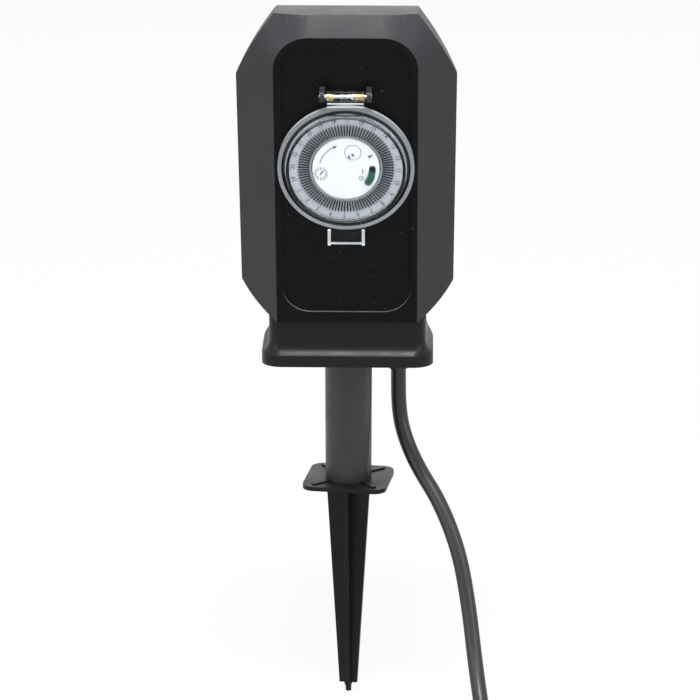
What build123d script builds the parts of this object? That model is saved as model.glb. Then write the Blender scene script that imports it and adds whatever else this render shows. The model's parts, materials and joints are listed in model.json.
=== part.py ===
from build123d import *
from math import asin, atan2, cos, degrees, hypot, pi, radians, sin, sqrt, tan
import os

# A garden socket post: an octagonal hood with a 24-hour segment timer under a clear lid at the
# front and two lidded earthed outlets at the back, on a moulded foot, a round post and a spike.
# Millimetres. X is to the right seen from the timer, Y to the back, Z up. The origin is the
# tip of the spike.

# clearances
fit_gap = 0.3
screw_gap = 0.1
running_gap = 0.05
overrun = 5.0

# ground spike
spike_length = 125.3
spike_turn_angle = -8.0
spike_top_span = 24.3
spike_foot_span = 9.9
spike_foot_height = 5.5
spike_neck_span = 4.6
spike_tip_span = 0.8
spike_rib = 3.0
plate_width = 46.5
plate_depth = 42.0
plate_corner = 7.0
plate_thick = 2.5
plate_rib_wide = 2.4
plate_rib_tall = 0.8
stub_height = 34.0
stub_wall = 3.2

# post
post_top_radius = 13.05
post_foot_radius = 12.75
post_wall = 2.6

# moulded foot under the hood
foot_bottom = 202.8
skirt_width = 92.8
skirt_depth = 76.0
skirt_corner = 11.0
skirt_face = 6.3
cove_height = 8.2
cove_overhang = 4.0
foot_wall = 2.5
floor_bottom = 212.0
floor_thick = 2.5
socket_wall = 3.3
socket_depth = 26.0
socket_cap = 3.0

# hood
hood_bottom = 228.8
hood_wall = 3.0
lean_angle = 12.8
panel_foot_y = -40.0
rear_y = 40.0
arch_half = 37.6
arch_height = 167.5
arch_corner = 18.5
arch_skirt = 60.0
facet_angle = 45.0
top_facet = 9.0
roof_radius = 243.0
belly_half = 57.0
belly_z = 249.0
shoulder_half = 58.2
shoulder_z = 368.0
crown_half = 37.4
chamfer_bulge = 1.4
belly_bulge = 1.8
pocket_margin = 3.3
pocket_corner = 15.0
pocket_foot = 6.4
pocket_deep = 1.2
seam_y = -8.0
throat_width = 58.0
throat_depth = 44.0

# screws and bosses
screw_radius = 1.5
screw_head_radius = 2.9
screw_head_tall = 2.0
boss_radius = 4.0
small_screw_radius = 1.0
small_head_radius = 1.8
small_head_tall = 1.2
post_screw_radius = 2.0
post_screw_head = 3.6
foot_boss_x = 34.5
foot_boss_y = 25.5
hood_boss_tall = 9.0
cover_boss_x = 45.0
cover_boss_low_z = 256.0
cover_boss_high_z = 342.0
cover_screw_grip = 12.0

# timer, measured from the dial's centre along the panel and out of it
dial_height = 94.0
dial_radius = 29.35
dial_front = 2.9
dial_back = 0.5
dial_web = 0.7
slot_inner = 19.1
slot_outer = 25.2
slot_wide = 0.78
slot_count = 96
tripper_proud = 0.5
tripper_deep = 1.5
tripper_travel = 1.2
label_radius = 17.6
label_well_radius = 18.2
label_thick = 1.0
label_proud = 0.3
slider_radius = 13.85
slider_wide = 3.6
slider_slot_low_angle = -33.0
slider_slot_high_angle = 0.0
slider_travel_angle = 15.0
slider_foot_thick = 0.6
slider_proud = 1.1
slider_rib_count = 7
slider_rib_wide = 0.35
slider_rib_tall = 0.35
window_x = 2.67
window_y = 7.24
window_long = 3.8
window_wide = 2.4
window_turn_angle = 35.0
indicator_radius = 2.3
indicator_thick = 0.5
indicator_pin = 0.5
timer_hole_radius = 30.0
case_radius = 29.7
case_wall = 1.8
case_front = -0.1
case_deep = 26.0
case_lug_radius = 36.2
case_lug_thick = 2.0
timer_boss_tall = 6.0
timer_boss_radius = 3.0
timer_boss_angles = (90.0, 210.0, 330.0)
center_pin_radius = 2.0

# timer drive
gear_module = 0.5
dial_teeth = 60
small_pinion_teeth = 12
wheel_teeth = 32
motor_teeth = 10
tooth_out_share = 0.55
tooth_in_share = 0.95
tooth_tip_share = 0.12
tooth_root_share = 0.23
dial_gear_low = -6.2
dial_gear_thick = 1.8
dial_hub_radius = 4.2
wheel_low = -10.6
wheel_thick = 1.4
idler_angle = 200.0
motor_turn_angle = 100.0
axle_radius = 0.8
motor_radius = 7.6
motor_tall = 11.5
motor_shaft_radius = 0.8
pinion_rise = 2.6

# timer switch
switch_angle = -30.0
switch_long = 13.0
switch_wide = 8.0
switch_tall = 13.0
switch_center = 18.0
lever_thick = 0.6
lever_gap = 0.4
lever_wide = 5.0
lever_pivot_radius = 12.4
lever_barrel = 0.9
lever_pin = 0.4
contact_wide = 1.6
contact_long = 5.0
contact_thick = 0.8
contact_pitch = 4.0

# timer lid
lid_seat = 0.6
lid_radius = 35.9
lid_flange_thick = 2.5
lid_drum_radius = 31.6
lid_drum_front = 7.7
lid_wall = 1.8
lid_window_thick = 2.0
lid_edge_round = 1.5
lid_hinge_rise = 42.5
lid_hinge_out = 4.6
lid_barrel_radius = 2.6
lid_barrel_half = 10.15
lid_arm_thick = 2.4
lid_tab_half = 9.8
lid_tab_long = 8.9
lid_tab_rim = 1.6
lid_tab_rim_tall = 1.4
lid_pin_radius = 1.0
ear_inner = 10.8
ear_thick = 2.7
ear_radius = 3.0
spring_left_long = 4.0
spring_right_long = 6.0
spring_wire = 0.25
spring_radius = 1.65
spring_bore = 2.1
spring_turn_pitch = 0.9
gasket_inner = 30.9
gasket_outer = 33.2

# outlets
outlet_low_z = 264.0
outlet_pitch = 72.0
recess_radius = 19.8
recess_depth = 18.5
insert_wall = 2.0
insert_floor = 3.0
insert_flange_radius = 27.0
insert_flange_thick = 2.4
pin_hole_radius = 2.6
pin_pitch = 19.0
contact_outer = 3.4
contact_inner = 2.3
contact_tube_long = 7.5
contact_slit = 1.0
clip_wide = 5.0
clip_thick = 0.8
clip_tall = 12.0
clip_bow = 1.4
outlet_screw_radius = 24.4
outlet_screw_angle = 45.0
outlet_lid_half = 30.0
outlet_lid_corner = 8.0
outlet_lid_deep = 7.0
outlet_lid_wall = 2.0
outlet_gasket_wide = 2.6
outlet_gasket_thick = 1.2
outlet_hinge_rise = 32.8
outlet_hinge_out = 4.2
outlet_barrel_radius = 2.6
outlet_knuckle_inner = 4.6
outlet_knuckle_outer = 13.0
outlet_lug_thick = 3.2
outlet_pin_radius = 1.5
outlet_spring_radius = 2.1
outlet_spring_wire = 0.35
outlet_spring_pitch = 1.0
outlet_tab_half = 9.0
outlet_tab_long = 3.0
outlet_tab_thick = 2.2

# wiring in the foot
terminal_width = 27.0
terminal_depth = 15.0
terminal_tall = 13.0
terminal_hole_radius = 1.7
terminal_pitch = 8.0
wire_radius = 1.15
live_core_shares = (-0.62, 0.05)
neutral_core_shares = (0.02, 0.52)
earth_core_shares = (0.02, -0.43)
bend_share = 0.45
clamp_bar_thick = 3.0
clamp_bar_long = 22.0
clamp_bar_tall = 6.0
clamp_pad_deep = 6.0
clamp_screw_x = 8.0

# supply cord
cord_radius = 4.2
cord_x = 27.3
cord_y = 15.0
cord_grip_gap = 0.05
grip_shank_radius = 6.8
grip_top_radius = 8.2
grip_foot_radius = 5.3
grip_long = 25.5
grip_nut_radius = 9.4
grip_nut_thick = 3.2
cord_tail_long = 14.0
cord_route = [
    (27.3, 15.0, 212.0),
    (27.3, 15.0, 186.5),
    (27.6, 14.7, 162.0),
    (31.1, 10.3, 147.2),
    (38.9, 1.2, 132.2),
    (51.0, -11.0, 116.5),
    (61.5, -25.0, 93.0),
    (67.0, -36.0, 65.0),
    (70.5, -50.0, 38.0),
    (74.5, -71.0, 15.5),
    (78.6, -99.0, 4.2),
    (79.9, -121.0, 4.3),
    (79.8, -131.0, 4.2),
]
coil_x = 25.7
coil_y = -142.0
coil_turn_radius = 49.8
coil_layers = 2
plug_x = -41.0
plug_y = -213.0
plug_radius = 19.4
plug_tall = 24.0
plug_pin_radius = 2.4
plug_pin_long = 19.0
plug_relief_long = 22.0
plug_relief_big = 6.6
plug_relief_small = 5.0
plug_boss_wide = 22.0
plug_boss_long = 5.0
plug_boss_tall = 16.0
plug_pin_seat = 3.0
plug_stub_radius = 1.6
plug_notch_wide = 8.0
plug_notch_deep = 2.2
earth_strip_wide = 4.4
earth_strip_thick = 1.0
tie_wide = 9.0
tie_thick = 1.2
tie_angle = 150.0

# places worked out from the sizes above
plate_top = spike_length + plate_thick
neck_width = skirt_width - 2 * cove_overhang
neck_depth = skirt_depth - 2 * cove_overhang
neck_corner = skirt_corner - cove_overhang
floor_top = floor_bottom + floor_thick
post_top = floor_bottom + socket_depth
socket_top = post_top + fit_gap + socket_cap
post_bore = post_foot_radius - post_wall
panel = Plane(
    origin=(0, panel_foot_y, hood_bottom),
    x_dir=(1, 0, 0),
    z_dir=(0, -cos(radians(lean_angle)), -sin(radians(lean_angle))),
)
dial = Plane(
    origin=panel.from_local_coords((0, dial_height, 0)), x_dir=panel.x_dir, z_dir=panel.z_dir
)
top_y = panel_foot_y - arch_height * sin(radians(lean_angle))
top_z = hood_bottom + arch_height * cos(radians(lean_angle))
facet_reach = rear_y - top_y + overrun
roof_y = top_y + top_facet * (cos(radians(lean_angle)) - sin(radians(lean_angle)))
roof_z = top_z + top_facet * (cos(radians(lean_angle)) + sin(radians(lean_angle)))
wall_back = -pocket_deep - (hood_wall - pocket_deep)
lug_front = wall_back - timer_boss_tall
outlet_high_z = outlet_low_z + outlet_pitch
outlets = {"lower": outlet_low_z, "upper": outlet_high_z}
idler_distance = gear_module * (dial_teeth + small_pinion_teeth) / 2
motor_distance = gear_module * (wheel_teeth + motor_teeth) / 2
case_floor = case_front - case_deep + case_wall
coil_thick = 4 * cord_radius
coil_tall = 2 * cord_radius * coil_layers
plug_lead_z = coil_tall - cord_radius
clamp_bar_low = floor_top + grip_nut_thick + fit_gap
clamp_y = cord_y - cord_radius - screw_gap - clamp_bar_thick
terminal_z = socket_top + terminal_tall / 3


def drum(radius, low, high):
    """A round bar along Z between two heights."""
    return Pos(0, 0, low) * Cylinder(radius, high - low, align=(Align.CENTER, Align.CENTER, Align.MIN))


def ring(outer, inner, low, high):
    """A flat ring or a tube along Z."""
    return drum(outer, low, high) - drum(inner, low - overrun, high + overrun)


def block(width, depth, low, high):
    """A box centred on the Z axis between two heights."""
    return Pos(0, 0, low) * Box(width, depth, high - low, align=(Align.CENTER, Align.CENTER, Align.MIN))


def slab(width, depth, corner, low, high):
    """A plate with round corners between two heights."""
    return Pos(0, 0, low) * extrude(RectangleRounded(width, depth, corner), high - low)


def at_angle(radius, angle):
    """The place at a radius and an angle, in the XY plane."""
    return Pos(radius * cos(radians(angle)), radius * sin(radians(angle)), 0)


def screw(shank, head, head_tall, grip):
    """A screw along Z: its head stands above zero, its shank goes down, with a cross recess."""
    body = drum(head, 0, head_tall) + drum(shank, -grip, 0)
    recess = block(head, head / 4, head_tall / 2, head_tall + overrun)
    return body - recess - Rot(0, 0, 90) * recess


def coil_spring(radius, wire, pitch, long):
    """A wound spring along Z with its middle at zero."""
    line = Helix(pitch, long - 2 * wire, radius)
    start = Plane(origin=line @ 0, z_dir=line % 0)
    return Pos(0, 0, wire - long / 2) * sweep(start * Circle(wire), path=line, is_frenet=True)


def gear(teeth, low, high, tooth_angle):
    """A spur gear with thin straight teeth, one of them at the given angle."""
    pitch_radius = gear_module * teeth / 2
    tip = pitch_radius + gear_module * tooth_out_share
    root = pitch_radius - gear_module * tooth_in_share
    step = 360 / teeth
    outline = []
    for number in range(teeth):
        middle = tooth_angle + number * step
        for radius, share in (
            (root, -tooth_root_share),
            (tip, -tooth_tip_share),
            (tip, tooth_tip_share),
            (root, tooth_root_share),
        ):
            turn = radians(middle + share * step)
            outline.append((radius * cos(turn), radius * sin(turn)))
    return Pos(0, 0, low) * extrude(make_face(Polyline(outline, close=True)), high - low)


def bowed(start, end, bulge):
    """A gently bulging arc between two points; it bulges to the right of its direction."""
    along = (end[0] - start[0], end[1] - start[1])
    long = hypot(along[0], along[1])
    middle = (
        (start[0] + end[0]) / 2 + bulge * along[1] / long,
        (start[1] + end[1]) / 2 - bulge * along[0] / long,
    )
    return ThreePointArc(start, middle, end)


def front_view(inset):
    """The hood's sides and lower chamfers seen from the front, as a bar up to the rear wall."""
    high = roof_z + overrun
    right = bowed((arch_half, hood_bottom), (belly_half, belly_z), belly_bulge) + Line(
        (belly_half, belly_z), (shoulder_half, high)
    )
    left = mirror(right, about=Plane.YZ)
    lid = Line((shoulder_half, high), (-shoulder_half, high))
    sill = Line((-arch_half, hood_bottom), (arch_half, hood_bottom))
    face = make_face(Wire(right.edges() + left.edges() + lid.edges() + sill.edges()))
    if inset:
        face = offset(face, amount=-inset, kind=Kind.INTERSECTION)
    rear = Plane(origin=(0, rear_y - inset, 0), x_dir=(1, 0, 0), z_dir=(0, -1, 0))
    return extrude(rear * face, 2 * facet_reach)


def crown(inset):
    """The roof and the top chamfers, turned about the roof arc's axis so that they fall to the back."""
    axis_z = roof_z - roof_radius
    right = Line((shoulder_half, axis_z), (shoulder_half, shoulder_z)) + bowed(
        (shoulder_half, shoulder_z), (crown_half, roof_z), chamfer_bulge
    )
    left = mirror(right, about=Plane.YZ)
    lid = Line((crown_half, roof_z), (-crown_half, roof_z))
    sill = Line((-shoulder_half, axis_z), (shoulder_half, axis_z))
    face = make_face(Wire(right.edges() + left.edges() + lid.edges() + sill.edges()))
    if inset:
        face = offset(face, amount=-inset, kind=Kind.INTERSECTION)
    middle = Plane(origin=(0, roof_y, 0), x_dir=(1, 0, 0), z_dir=(0, -1, 0))
    return revolve(middle * face, axis=Axis((0, roof_y, axis_z), (1, 0, 0)))


def arch_face(grow, height):
    """The panel's arch outline, grown all round, at a height along the panel's outward axis."""
    half = arch_half + grow
    top = arch_height + grow
    corner = arch_corner + grow
    foot = -arch_skirt - grow
    diagonal = corner * (1 - cos(pi / 4))
    outline = (
        Line((-half, foot), (half, foot))
        + Line((half, foot), (half, top - corner))
        + ThreePointArc((half, top - corner), (half - diagonal, top - diagonal), (half - corner, top))
        + Line((half - corner, top), (corner - half, top))
        + ThreePointArc((corner - half, top), (diagonal - half, top - diagonal), (-half, top - corner))
        + Line((-half, top - corner), (-half, foot))
    )
    return Pos(0, 0, height) * make_face(outline)


def facets(inset):
    """The arch outline run back from the panel with its sides flaring outward."""
    slope = radians(facet_angle)
    near = inset * (tan(slope) - 1 / cos(slope))
    far = facet_reach * tan(slope) - inset / cos(slope)
    return panel.location * loft([arch_face(near, -inset), arch_face(far, -facet_reach)], ruled=True)


def hood_form(inset):
    """The hood's whole outer shape, or the room inside it when inset is the wall."""
    return front_view(inset) & crown(inset) & facets(inset)


def half_space(front):
    """A large block in front of the seam, or behind it."""
    side = Align.MAX if front else Align.MIN
    reach = 2 * facet_reach
    space = Box(reach, reach, 2 * reach, align=(Align.CENTER, side, Align.CENTER))
    return Pos(0, seam_y, hood_bottom) * space


def outlet_plane(z):
    """Out of the rear wall at an outlet's height, with Z of the world as its Y."""
    return Plane(origin=(0, rear_y, z), x_dir=(-1, 0, 0), z_dir=(0, 1, 0))


def cover_boss_places():
    return [(x, z) for x in (-cover_boss_x, cover_boss_x) for z in (cover_boss_low_z, cover_boss_high_z)]


def foot_boss_places():
    return [(x, y) for x in (-foot_boss_x, foot_boss_x) for y in (-foot_boss_y, foot_boss_y)]


def along_y(x, z, radius, start, end):
    """A round bar along Y between two depths."""
    return Pos(x, start, z) * Rot(-90, 0, 0) * drum(radius, 0, end - start)


def hood_bosses(outer, front):
    """Pillars that take the four cover screws and the two foot screws of one cover."""
    bosses = Part()
    for x, z in cover_boss_places():
        bosses += along_y(x, z, boss_radius, seam_y - facet_reach, rear_y + overrun)
    bosses = bosses & outer
    for x, y in foot_boss_places():
        bosses += Pos(x, y, 0) * drum(boss_radius, hood_bottom, hood_bottom + hood_boss_tall)
    return bosses & half_space(front)


def hood_shell(front):
    """One half of the hood: its walls, bosses, throat and screw holes."""
    outer = hood_form(0)
    shell = (outer - hood_form(hood_wall)) & half_space(front)
    shell += hood_bosses(outer, front)
    throat_top = hood_bottom + hood_wall + overrun
    shell -= slab(throat_width, throat_depth, neck_corner, hood_bottom - overrun, throat_top)
    grip_start = seam_y - cover_screw_grip - overrun
    for x, z in cover_boss_places():
        shell -= along_y(x, z, screw_radius + screw_gap, grip_start, rear_y + overrun)
        shell -= along_y(x, z, screw_head_radius + screw_gap, rear_y - screw_head_tall, rear_y + overrun)
    for x, y in foot_boss_places():
        top = hood_bottom + hood_boss_tall
        shell -= Pos(x, y, 0) * drum(screw_radius + screw_gap, hood_bottom - overrun, top + overrun)
    return shell


def front_cover():
    shell = hood_shell(True)
    half = arch_half - pocket_margin
    top = arch_height - pocket_margin
    pocket = Pos(0, (top + pocket_foot) / 2, 0) * slab(
        2 * half, top - pocket_foot, pocket_corner, -pocket_deep, overrun
    )
    shell -= panel.location * pocket
    for side in (-1, 1):
        foot_tall = lid_hinge_out + pocket_deep
        foot = Pos(-foot_tall / 2, 0) * Rectangle(foot_tall, 2 * ear_radius)
        ear = extrude(Circle(ear_radius), ear_thick) + extrude(foot, ear_thick)
        middle = side * (ear_inner + ear_thick / 2)
        seat = Plane(origin=(middle, lid_hinge_rise, lid_hinge_out), x_dir=(0, 0, 1), z_dir=(1, 0, 0))
        ear = seat.location * (Pos(0, 0, -ear_thick / 2) * ear)
        shell += dial.location * ear
    for angle in timer_boss_angles:
        boss = at_angle(case_lug_radius, angle) * drum(timer_boss_radius, lug_front, wall_back)
        hole = at_angle(case_lug_radius, angle) * drum(
            small_screw_radius + screw_gap, lug_front - overrun, wall_back
        )
        shell += dial.location * boss
        shell -= dial.location * hole
    shell -= dial.location * drum(timer_hole_radius, wall_back - overrun, overrun)
    hinge = Pos(0, lid_hinge_rise, lid_hinge_out) * Rot(0, 90, 0)
    bore_half = ear_inner + ear_thick + overrun
    bore = drum(lid_pin_radius + running_gap, -bore_half, bore_half)
    return shell - dial.location * hinge * bore


def outlet_lugs():
    """The two lugs that hold an outlet lid's hinge pin, in the outlet's own frame."""
    lugs = Part()
    for side in (-1, 1):
        profile = Circle(outlet_barrel_radius) + Pos(-outlet_hinge_out / 2, 0) * Rectangle(
            outlet_hinge_out, 2 * outlet_barrel_radius
        )
        inner = outlet_knuckle_outer + fit_gap
        middle = side * (inner + outlet_lug_thick / 2)
        seat = Plane(origin=(middle, outlet_hinge_rise, outlet_hinge_out), x_dir=(0, 0, 1), z_dir=(1, 0, 0))
        lugs += seat.location * (Pos(0, 0, -outlet_lug_thick / 2) * extrude(profile, outlet_lug_thick))
    bore = drum(outlet_pin_radius + running_gap, -shoulder_half, shoulder_half)
    return lugs - Pos(0, outlet_hinge_rise, outlet_hinge_out) * Rot(0, 90, 0) * bore


def rear_cover():
    shell = hood_shell(False)
    for z in outlets.values():
        seat = outlet_plane(z).location
        shell -= seat * drum(recess_radius + insert_wall + fit_gap, -hood_wall - overrun, overrun)
        for side in (-1, 1):
            hole = drum(small_screw_radius + screw_gap, -hood_wall - overrun, overrun)
            hole = Pos(side * outlet_screw_radius, 0, 0) * hole
            shell -= seat * Rot(0, 0, outlet_screw_angle) * hole
        shell += seat * outlet_lugs()
    return shell


def foot_outline(grow, z):
    return Pos(0, 0, z) * RectangleRounded(neck_width + 2 * grow, neck_depth + 2 * grow, neck_corner + grow)


def foot_apron():
    """The room the skirt and its flare may fill: square in front, round behind."""
    low = foot_bottom - overrun
    front = Pos(0, -skirt_width, 0) * block(2 * skirt_width, 2 * skirt_width, low, hood_bottom)
    return front + drum(skirt_width / 2, low, hood_bottom)


def hood_foot():
    """The moulded foot: neck, concave flare and skirt, with the post's socket and a floor."""
    cove_low = foot_bottom + skirt_face
    body = slab(neck_width, neck_depth, neck_corner, foot_bottom, hood_bottom)
    body += foot_apron() & slab(skirt_width, skirt_depth, skirt_corner, foot_bottom, cove_low)
    steps = 4
    for step in range(steps):
        sections = []
        for share in (step / steps, (step + 1) / steps):
            z = cove_low + share * cove_height
            grow = cove_overhang * (1 - sqrt(1 - (1 - share) ** 2))
            sections.append(foot_outline(grow + (0 if grow else running_gap), z))
        body += foot_apron() & loft(sections, ruled=True)
    inner_width = neck_width - 2 * foot_wall
    inner_depth = neck_depth - 2 * foot_wall
    inner_corner = neck_corner - foot_wall
    body -= slab(inner_width, inner_depth, inner_corner, foot_bottom - overrun, floor_bottom)
    body -= slab(inner_width, inner_depth, inner_corner, floor_top, hood_bottom + overrun)
    socket_radius = post_top_radius + running_gap
    body += drum(socket_radius + socket_wall, floor_bottom, socket_top)
    body -= drum(socket_radius, floor_bottom - overrun, post_top + fit_gap)
    body += Pos(cord_x, cord_y + cord_radius + screw_gap + clamp_pad_deep / 2, 0) * block(
        clamp_bar_long, clamp_pad_deep, floor_bottom, clamp_bar_low + clamp_bar_tall
    )
    for x, y in foot_boss_places():
        body += Pos(x, y, 0) * drum(boss_radius, floor_bottom, hood_bottom)
        body -= Pos(x, y, 0) * drum(screw_radius + screw_gap, floor_bottom - overrun, hood_bottom + overrun)
    body -= Pos(cord_x, cord_y, 0) * drum(grip_shank_radius + screw_gap, floor_bottom - overrun, floor_top)
    body -= Pos(cord_x, cord_y, 0) * drum(grip_nut_radius + fit_gap, floor_top, floor_top + grip_nut_thick)
    for side in (-1, 1):
        x = cord_x + side * clamp_screw_x
        z = clamp_bar_low + clamp_bar_tall / 2
        body -= along_y(x, z, small_screw_radius + screw_gap, cord_y, cord_y + cord_radius + clamp_pad_deep)
    body -= along_y(0, foot_screw_z(), post_screw_radius + screw_gap, 0, neck_depth / 2 - foot_wall)
    return body


def foot_screw_z():
    """The height of the screw that holds the post in the foot's socket."""
    return (floor_top + hood_bottom) / 2


def spike_screw_z():
    """The height of the screw that holds the post on the spike's stub."""
    return plate_top + stub_height / 2


def post():
    tube = Pos(0, 0, plate_top) * Cone(
        post_foot_radius, post_top_radius, post_top - plate_top, align=(Align.CENTER, Align.CENTER, Align.MIN)
    )
    tube -= drum(post_bore, plate_top - overrun, post_top + overrun)
    for z in (foot_screw_z(), spike_screw_z()):
        tube -= along_y(0, z, post_screw_radius + screw_gap, 0, post_top_radius + overrun)
    return tube


def ground_spike():
    """One casting: a ribbed ground plate, a stub inside the post and a cross-shaped spike."""
    half = [
        (spike_tip_span / 2, 0),
        (spike_neck_span / 2, spike_foot_height),
        (spike_foot_span / 2, spike_foot_height),
        (spike_top_span / 2, spike_length),
    ]
    face = make_face(Polyline(half + [(-x, z) for x, z in reversed(half)], close=True))
    rib = extrude(Plane.XZ * face, spike_rib / 2, both=True)
    body = rib + Rot(0, 0, 90) * rib
    body += slab(plate_width, plate_depth, plate_corner, spike_length, plate_top)
    diagonal = hypot(plate_width, plate_depth) / 2 - plate_corner
    for angle in (45, 135):
        bar = block(2 * diagonal, plate_rib_wide, plate_top, plate_top + plate_rib_tall)
        body += Rot(0, 0, angle) * bar
    stub = post_bore - fit_gap
    body -= drum(post_top_radius + fit_gap, plate_top, plate_top + overrun)
    body += ring(stub, stub - stub_wall, plate_top, plate_top + stub_height)
    body = Rot(0, 0, spike_turn_angle) * body
    return body - along_y(0, spike_screw_z(), post_screw_radius + screw_gap, 0, post_top_radius)


def post_screws():
    """Two screws from the back: one into the foot's socket, one into the spike's stub."""
    screws = Part()
    outside = (
        (foot_screw_z(), post_top_radius + running_gap + socket_wall, socket_wall + post_wall),
        (spike_screw_z(), post_foot_radius + running_gap, post_wall + stub_wall),
    )
    for z, face, grip in outside:
        one = screw(post_screw_radius, post_screw_head, screw_head_tall, grip)
        screws += Pos(0, face + running_gap, z) * Rot(-90, 0, 0) * one
    return screws


def foot_screws():
    screws = Part()
    grip = hood_bottom - floor_bottom + hood_boss_tall - screw_radius
    for x, y in foot_boss_places():
        screws += Pos(x, y, floor_bottom) * Rot(180, 0, 0) * screw(
            screw_radius, screw_head_radius, screw_head_tall, grip
        )
    return screws


def cover_screws():
    screws = Part()
    grip = rear_y - screw_head_tall - seam_y + cover_screw_grip
    for x, z in cover_boss_places():
        screws += Pos(x, rear_y - screw_head_tall, z) * Rot(-90, 0, 0) * screw(
            screw_radius, screw_head_radius, screw_head_tall, grip
        )
    return screws


# timer pieces, each in the dial's own frame


def idler_place():
    return at_angle(idler_distance, idler_angle)


def motor_place():
    return idler_place() * at_angle(motor_distance, idler_angle + motor_turn_angle)


def timer_case():
    """The cup behind the panel, with its fixing lugs, centre pin and idler axle."""
    cup = drum(case_radius, case_front - case_deep, case_front)
    for angle in timer_boss_angles:
        lug_back = lug_front - case_lug_thick
        cup += at_angle(case_lug_radius, angle) * drum(timer_boss_radius, lug_back, lug_front)
        lug = Pos(case_lug_radius / 2, 0, 0) * block(
            case_lug_radius, 2 * timer_boss_radius, lug_back, lug_front
        )
        cup += Rot(0, 0, angle) * lug
    cup -= drum(case_radius - case_wall, case_floor, overrun)
    for angle in timer_boss_angles:
        cup -= at_angle(case_lug_radius, angle) * drum(
            small_screw_radius + screw_gap, lug_front - case_lug_thick - overrun, lug_front + overrun
        )
    cup += drum(center_pin_radius, case_floor - case_wall / 2, label_back())
    axle_top = dial_gear_low + dial_gear_thick + fit_gap
    cup += idler_place() * drum(axle_radius, case_floor - case_wall / 2, axle_top)
    return cup


def timer_screws():
    screws = Part()
    grip = case_lug_thick + timer_boss_tall - fit_gap
    one = Rot(180, 0, 0) * screw(small_screw_radius, small_head_radius, small_head_tall, grip)
    for angle in timer_boss_angles:
        screws += at_angle(case_lug_radius, angle) * Pos(0, 0, lug_front - case_lug_thick) * one
    return screws


def label_back():
    """The height of the label disc's back face."""
    return dial_front + label_proud - label_thick


def slots(wide, inner, outer, low, high):
    """The ring of 96 narrow blocks that the tripper slots or the trippers themselves fill."""
    one = Pos((inner + outer) / 2, 0, 0) * block(outer - inner, wide, low, high)
    step = 360 / slot_count
    return [Rot(0, 0, (number + 1 / 2) * step) * one for number in range(slot_count)]


def dial_ring():
    body = drum(dial_radius, dial_back, dial_front)
    body -= drum(label_well_radius, dial_back + dial_web, dial_front + overrun)
    body -= drum(center_pin_radius + running_gap, dial_back - overrun, dial_front)
    return body - slots(slot_wide, slot_inner, slot_outer, dial_back - overrun, dial_front + overrun)


def trippers():
    gap = running_gap
    low = dial_back - tripper_deep
    high = dial_front + tripper_proud
    return Compound(children=slots(slot_wide - 2 * gap, slot_inner + gap, slot_outer - gap, low, high))


def dial_gear():
    body = gear(dial_teeth, dial_gear_low, dial_gear_low + dial_gear_thick, idler_angle)
    body += drum(dial_hub_radius, dial_gear_low, dial_back)
    return body - drum(center_pin_radius + running_gap, dial_gear_low - overrun, dial_back + overrun)


def idler_gear():
    small_angle = idler_angle + 180 + 180 / small_pinion_teeth
    body = gear(wheel_teeth, wheel_low, wheel_low + wheel_thick, idler_angle + motor_turn_angle)
    body += gear(small_pinion_teeth, wheel_low + wheel_thick, dial_gear_low + dial_gear_thick, small_angle)
    return idler_place() * (body - drum(axle_radius + running_gap, wheel_low - overrun, overrun))


def motor_pinion():
    tooth_angle = idler_angle + motor_turn_angle + 180 + 180 / motor_teeth
    low = case_floor + motor_tall + running_gap
    body = gear(motor_teeth, wheel_low - wheel_thick / 4, wheel_low + wheel_thick, tooth_angle)
    body += drum(motor_shaft_radius, low - pinion_rise, wheel_low)
    return motor_place() * body


def timer_motor():
    top = case_floor + motor_tall
    body = drum(motor_radius, case_floor, top)
    body -= drum(motor_shaft_radius + running_gap, top - pinion_rise - fit_gap, top + overrun)
    return motor_place() * body


def switch_place():
    return Rot(0, 0, switch_angle)


def timer_switch():
    top = case_floor + switch_tall
    body = Pos(switch_center, 0, 0) * block(switch_long, switch_wide, case_floor, top)
    for side in (-1, 1):
        cheek = Pos(lever_pivot_radius, side * (lever_wide / 2 + fit_gap + lever_thick), 0) * block(
            2 * lever_barrel, 2 * lever_thick, top, top + lever_gap + 2 * lever_barrel
        )
        body += cheek
    axis = lever_axis()
    pin = Rot(90, 0, 0) * drum(lever_pin, -switch_wide / 2, switch_wide / 2)
    return switch_place() * (body + Pos(*axis) * pin)


def lever_axis():
    return (lever_pivot_radius, 0, case_floor + switch_tall + lever_gap + lever_barrel)


def switch_lever():
    x, _, z = lever_axis()
    nose_x = (slot_inner + slot_outer) / 2
    low = z - lever_thick / 2
    arm = Pos((x + nose_x) / 2, 0, 0) * block(nose_x - x, lever_wide, low, low + lever_thick)
    nose_top = dial_back - tripper_deep - tripper_travel - fit_gap
    arm += Pos(nose_x, 0, 0) * block(lever_barrel, lever_wide, low, nose_top)
    arm += Pos(x, 0, z) * Rot(90, 0, 0) * drum(lever_barrel, -lever_wide / 2, lever_wide / 2)
    arm -= Pos(x, 0, z) * Rot(90, 0, 0) * drum(lever_pin + running_gap, -lever_wide, lever_wide)
    return switch_place() * arm


def switch_tabs():
    """Three flat tabs on the switch's back, through the case's floor."""
    tabs = Part()
    low = case_front - case_deep - contact_long
    for number in (-1, 0, 1):
        tabs += Pos(switch_center + number * contact_pitch, 0, 0) * block(
            contact_thick, contact_wide, low, case_floor
        )
    return switch_place() * tabs


def case_with_slots():
    """The case with the three openings that the switch's tabs pass through."""
    body = timer_case()
    low = case_front - case_deep
    for number in (-1, 0, 1):
        hole = Pos(switch_center + number * contact_pitch, 0, 0) * block(
            contact_thick + 2 * running_gap,
            contact_wide + 2 * running_gap,
            low - overrun,
            case_floor + overrun,
        )
        body -= switch_place() * hole
    return body


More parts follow.
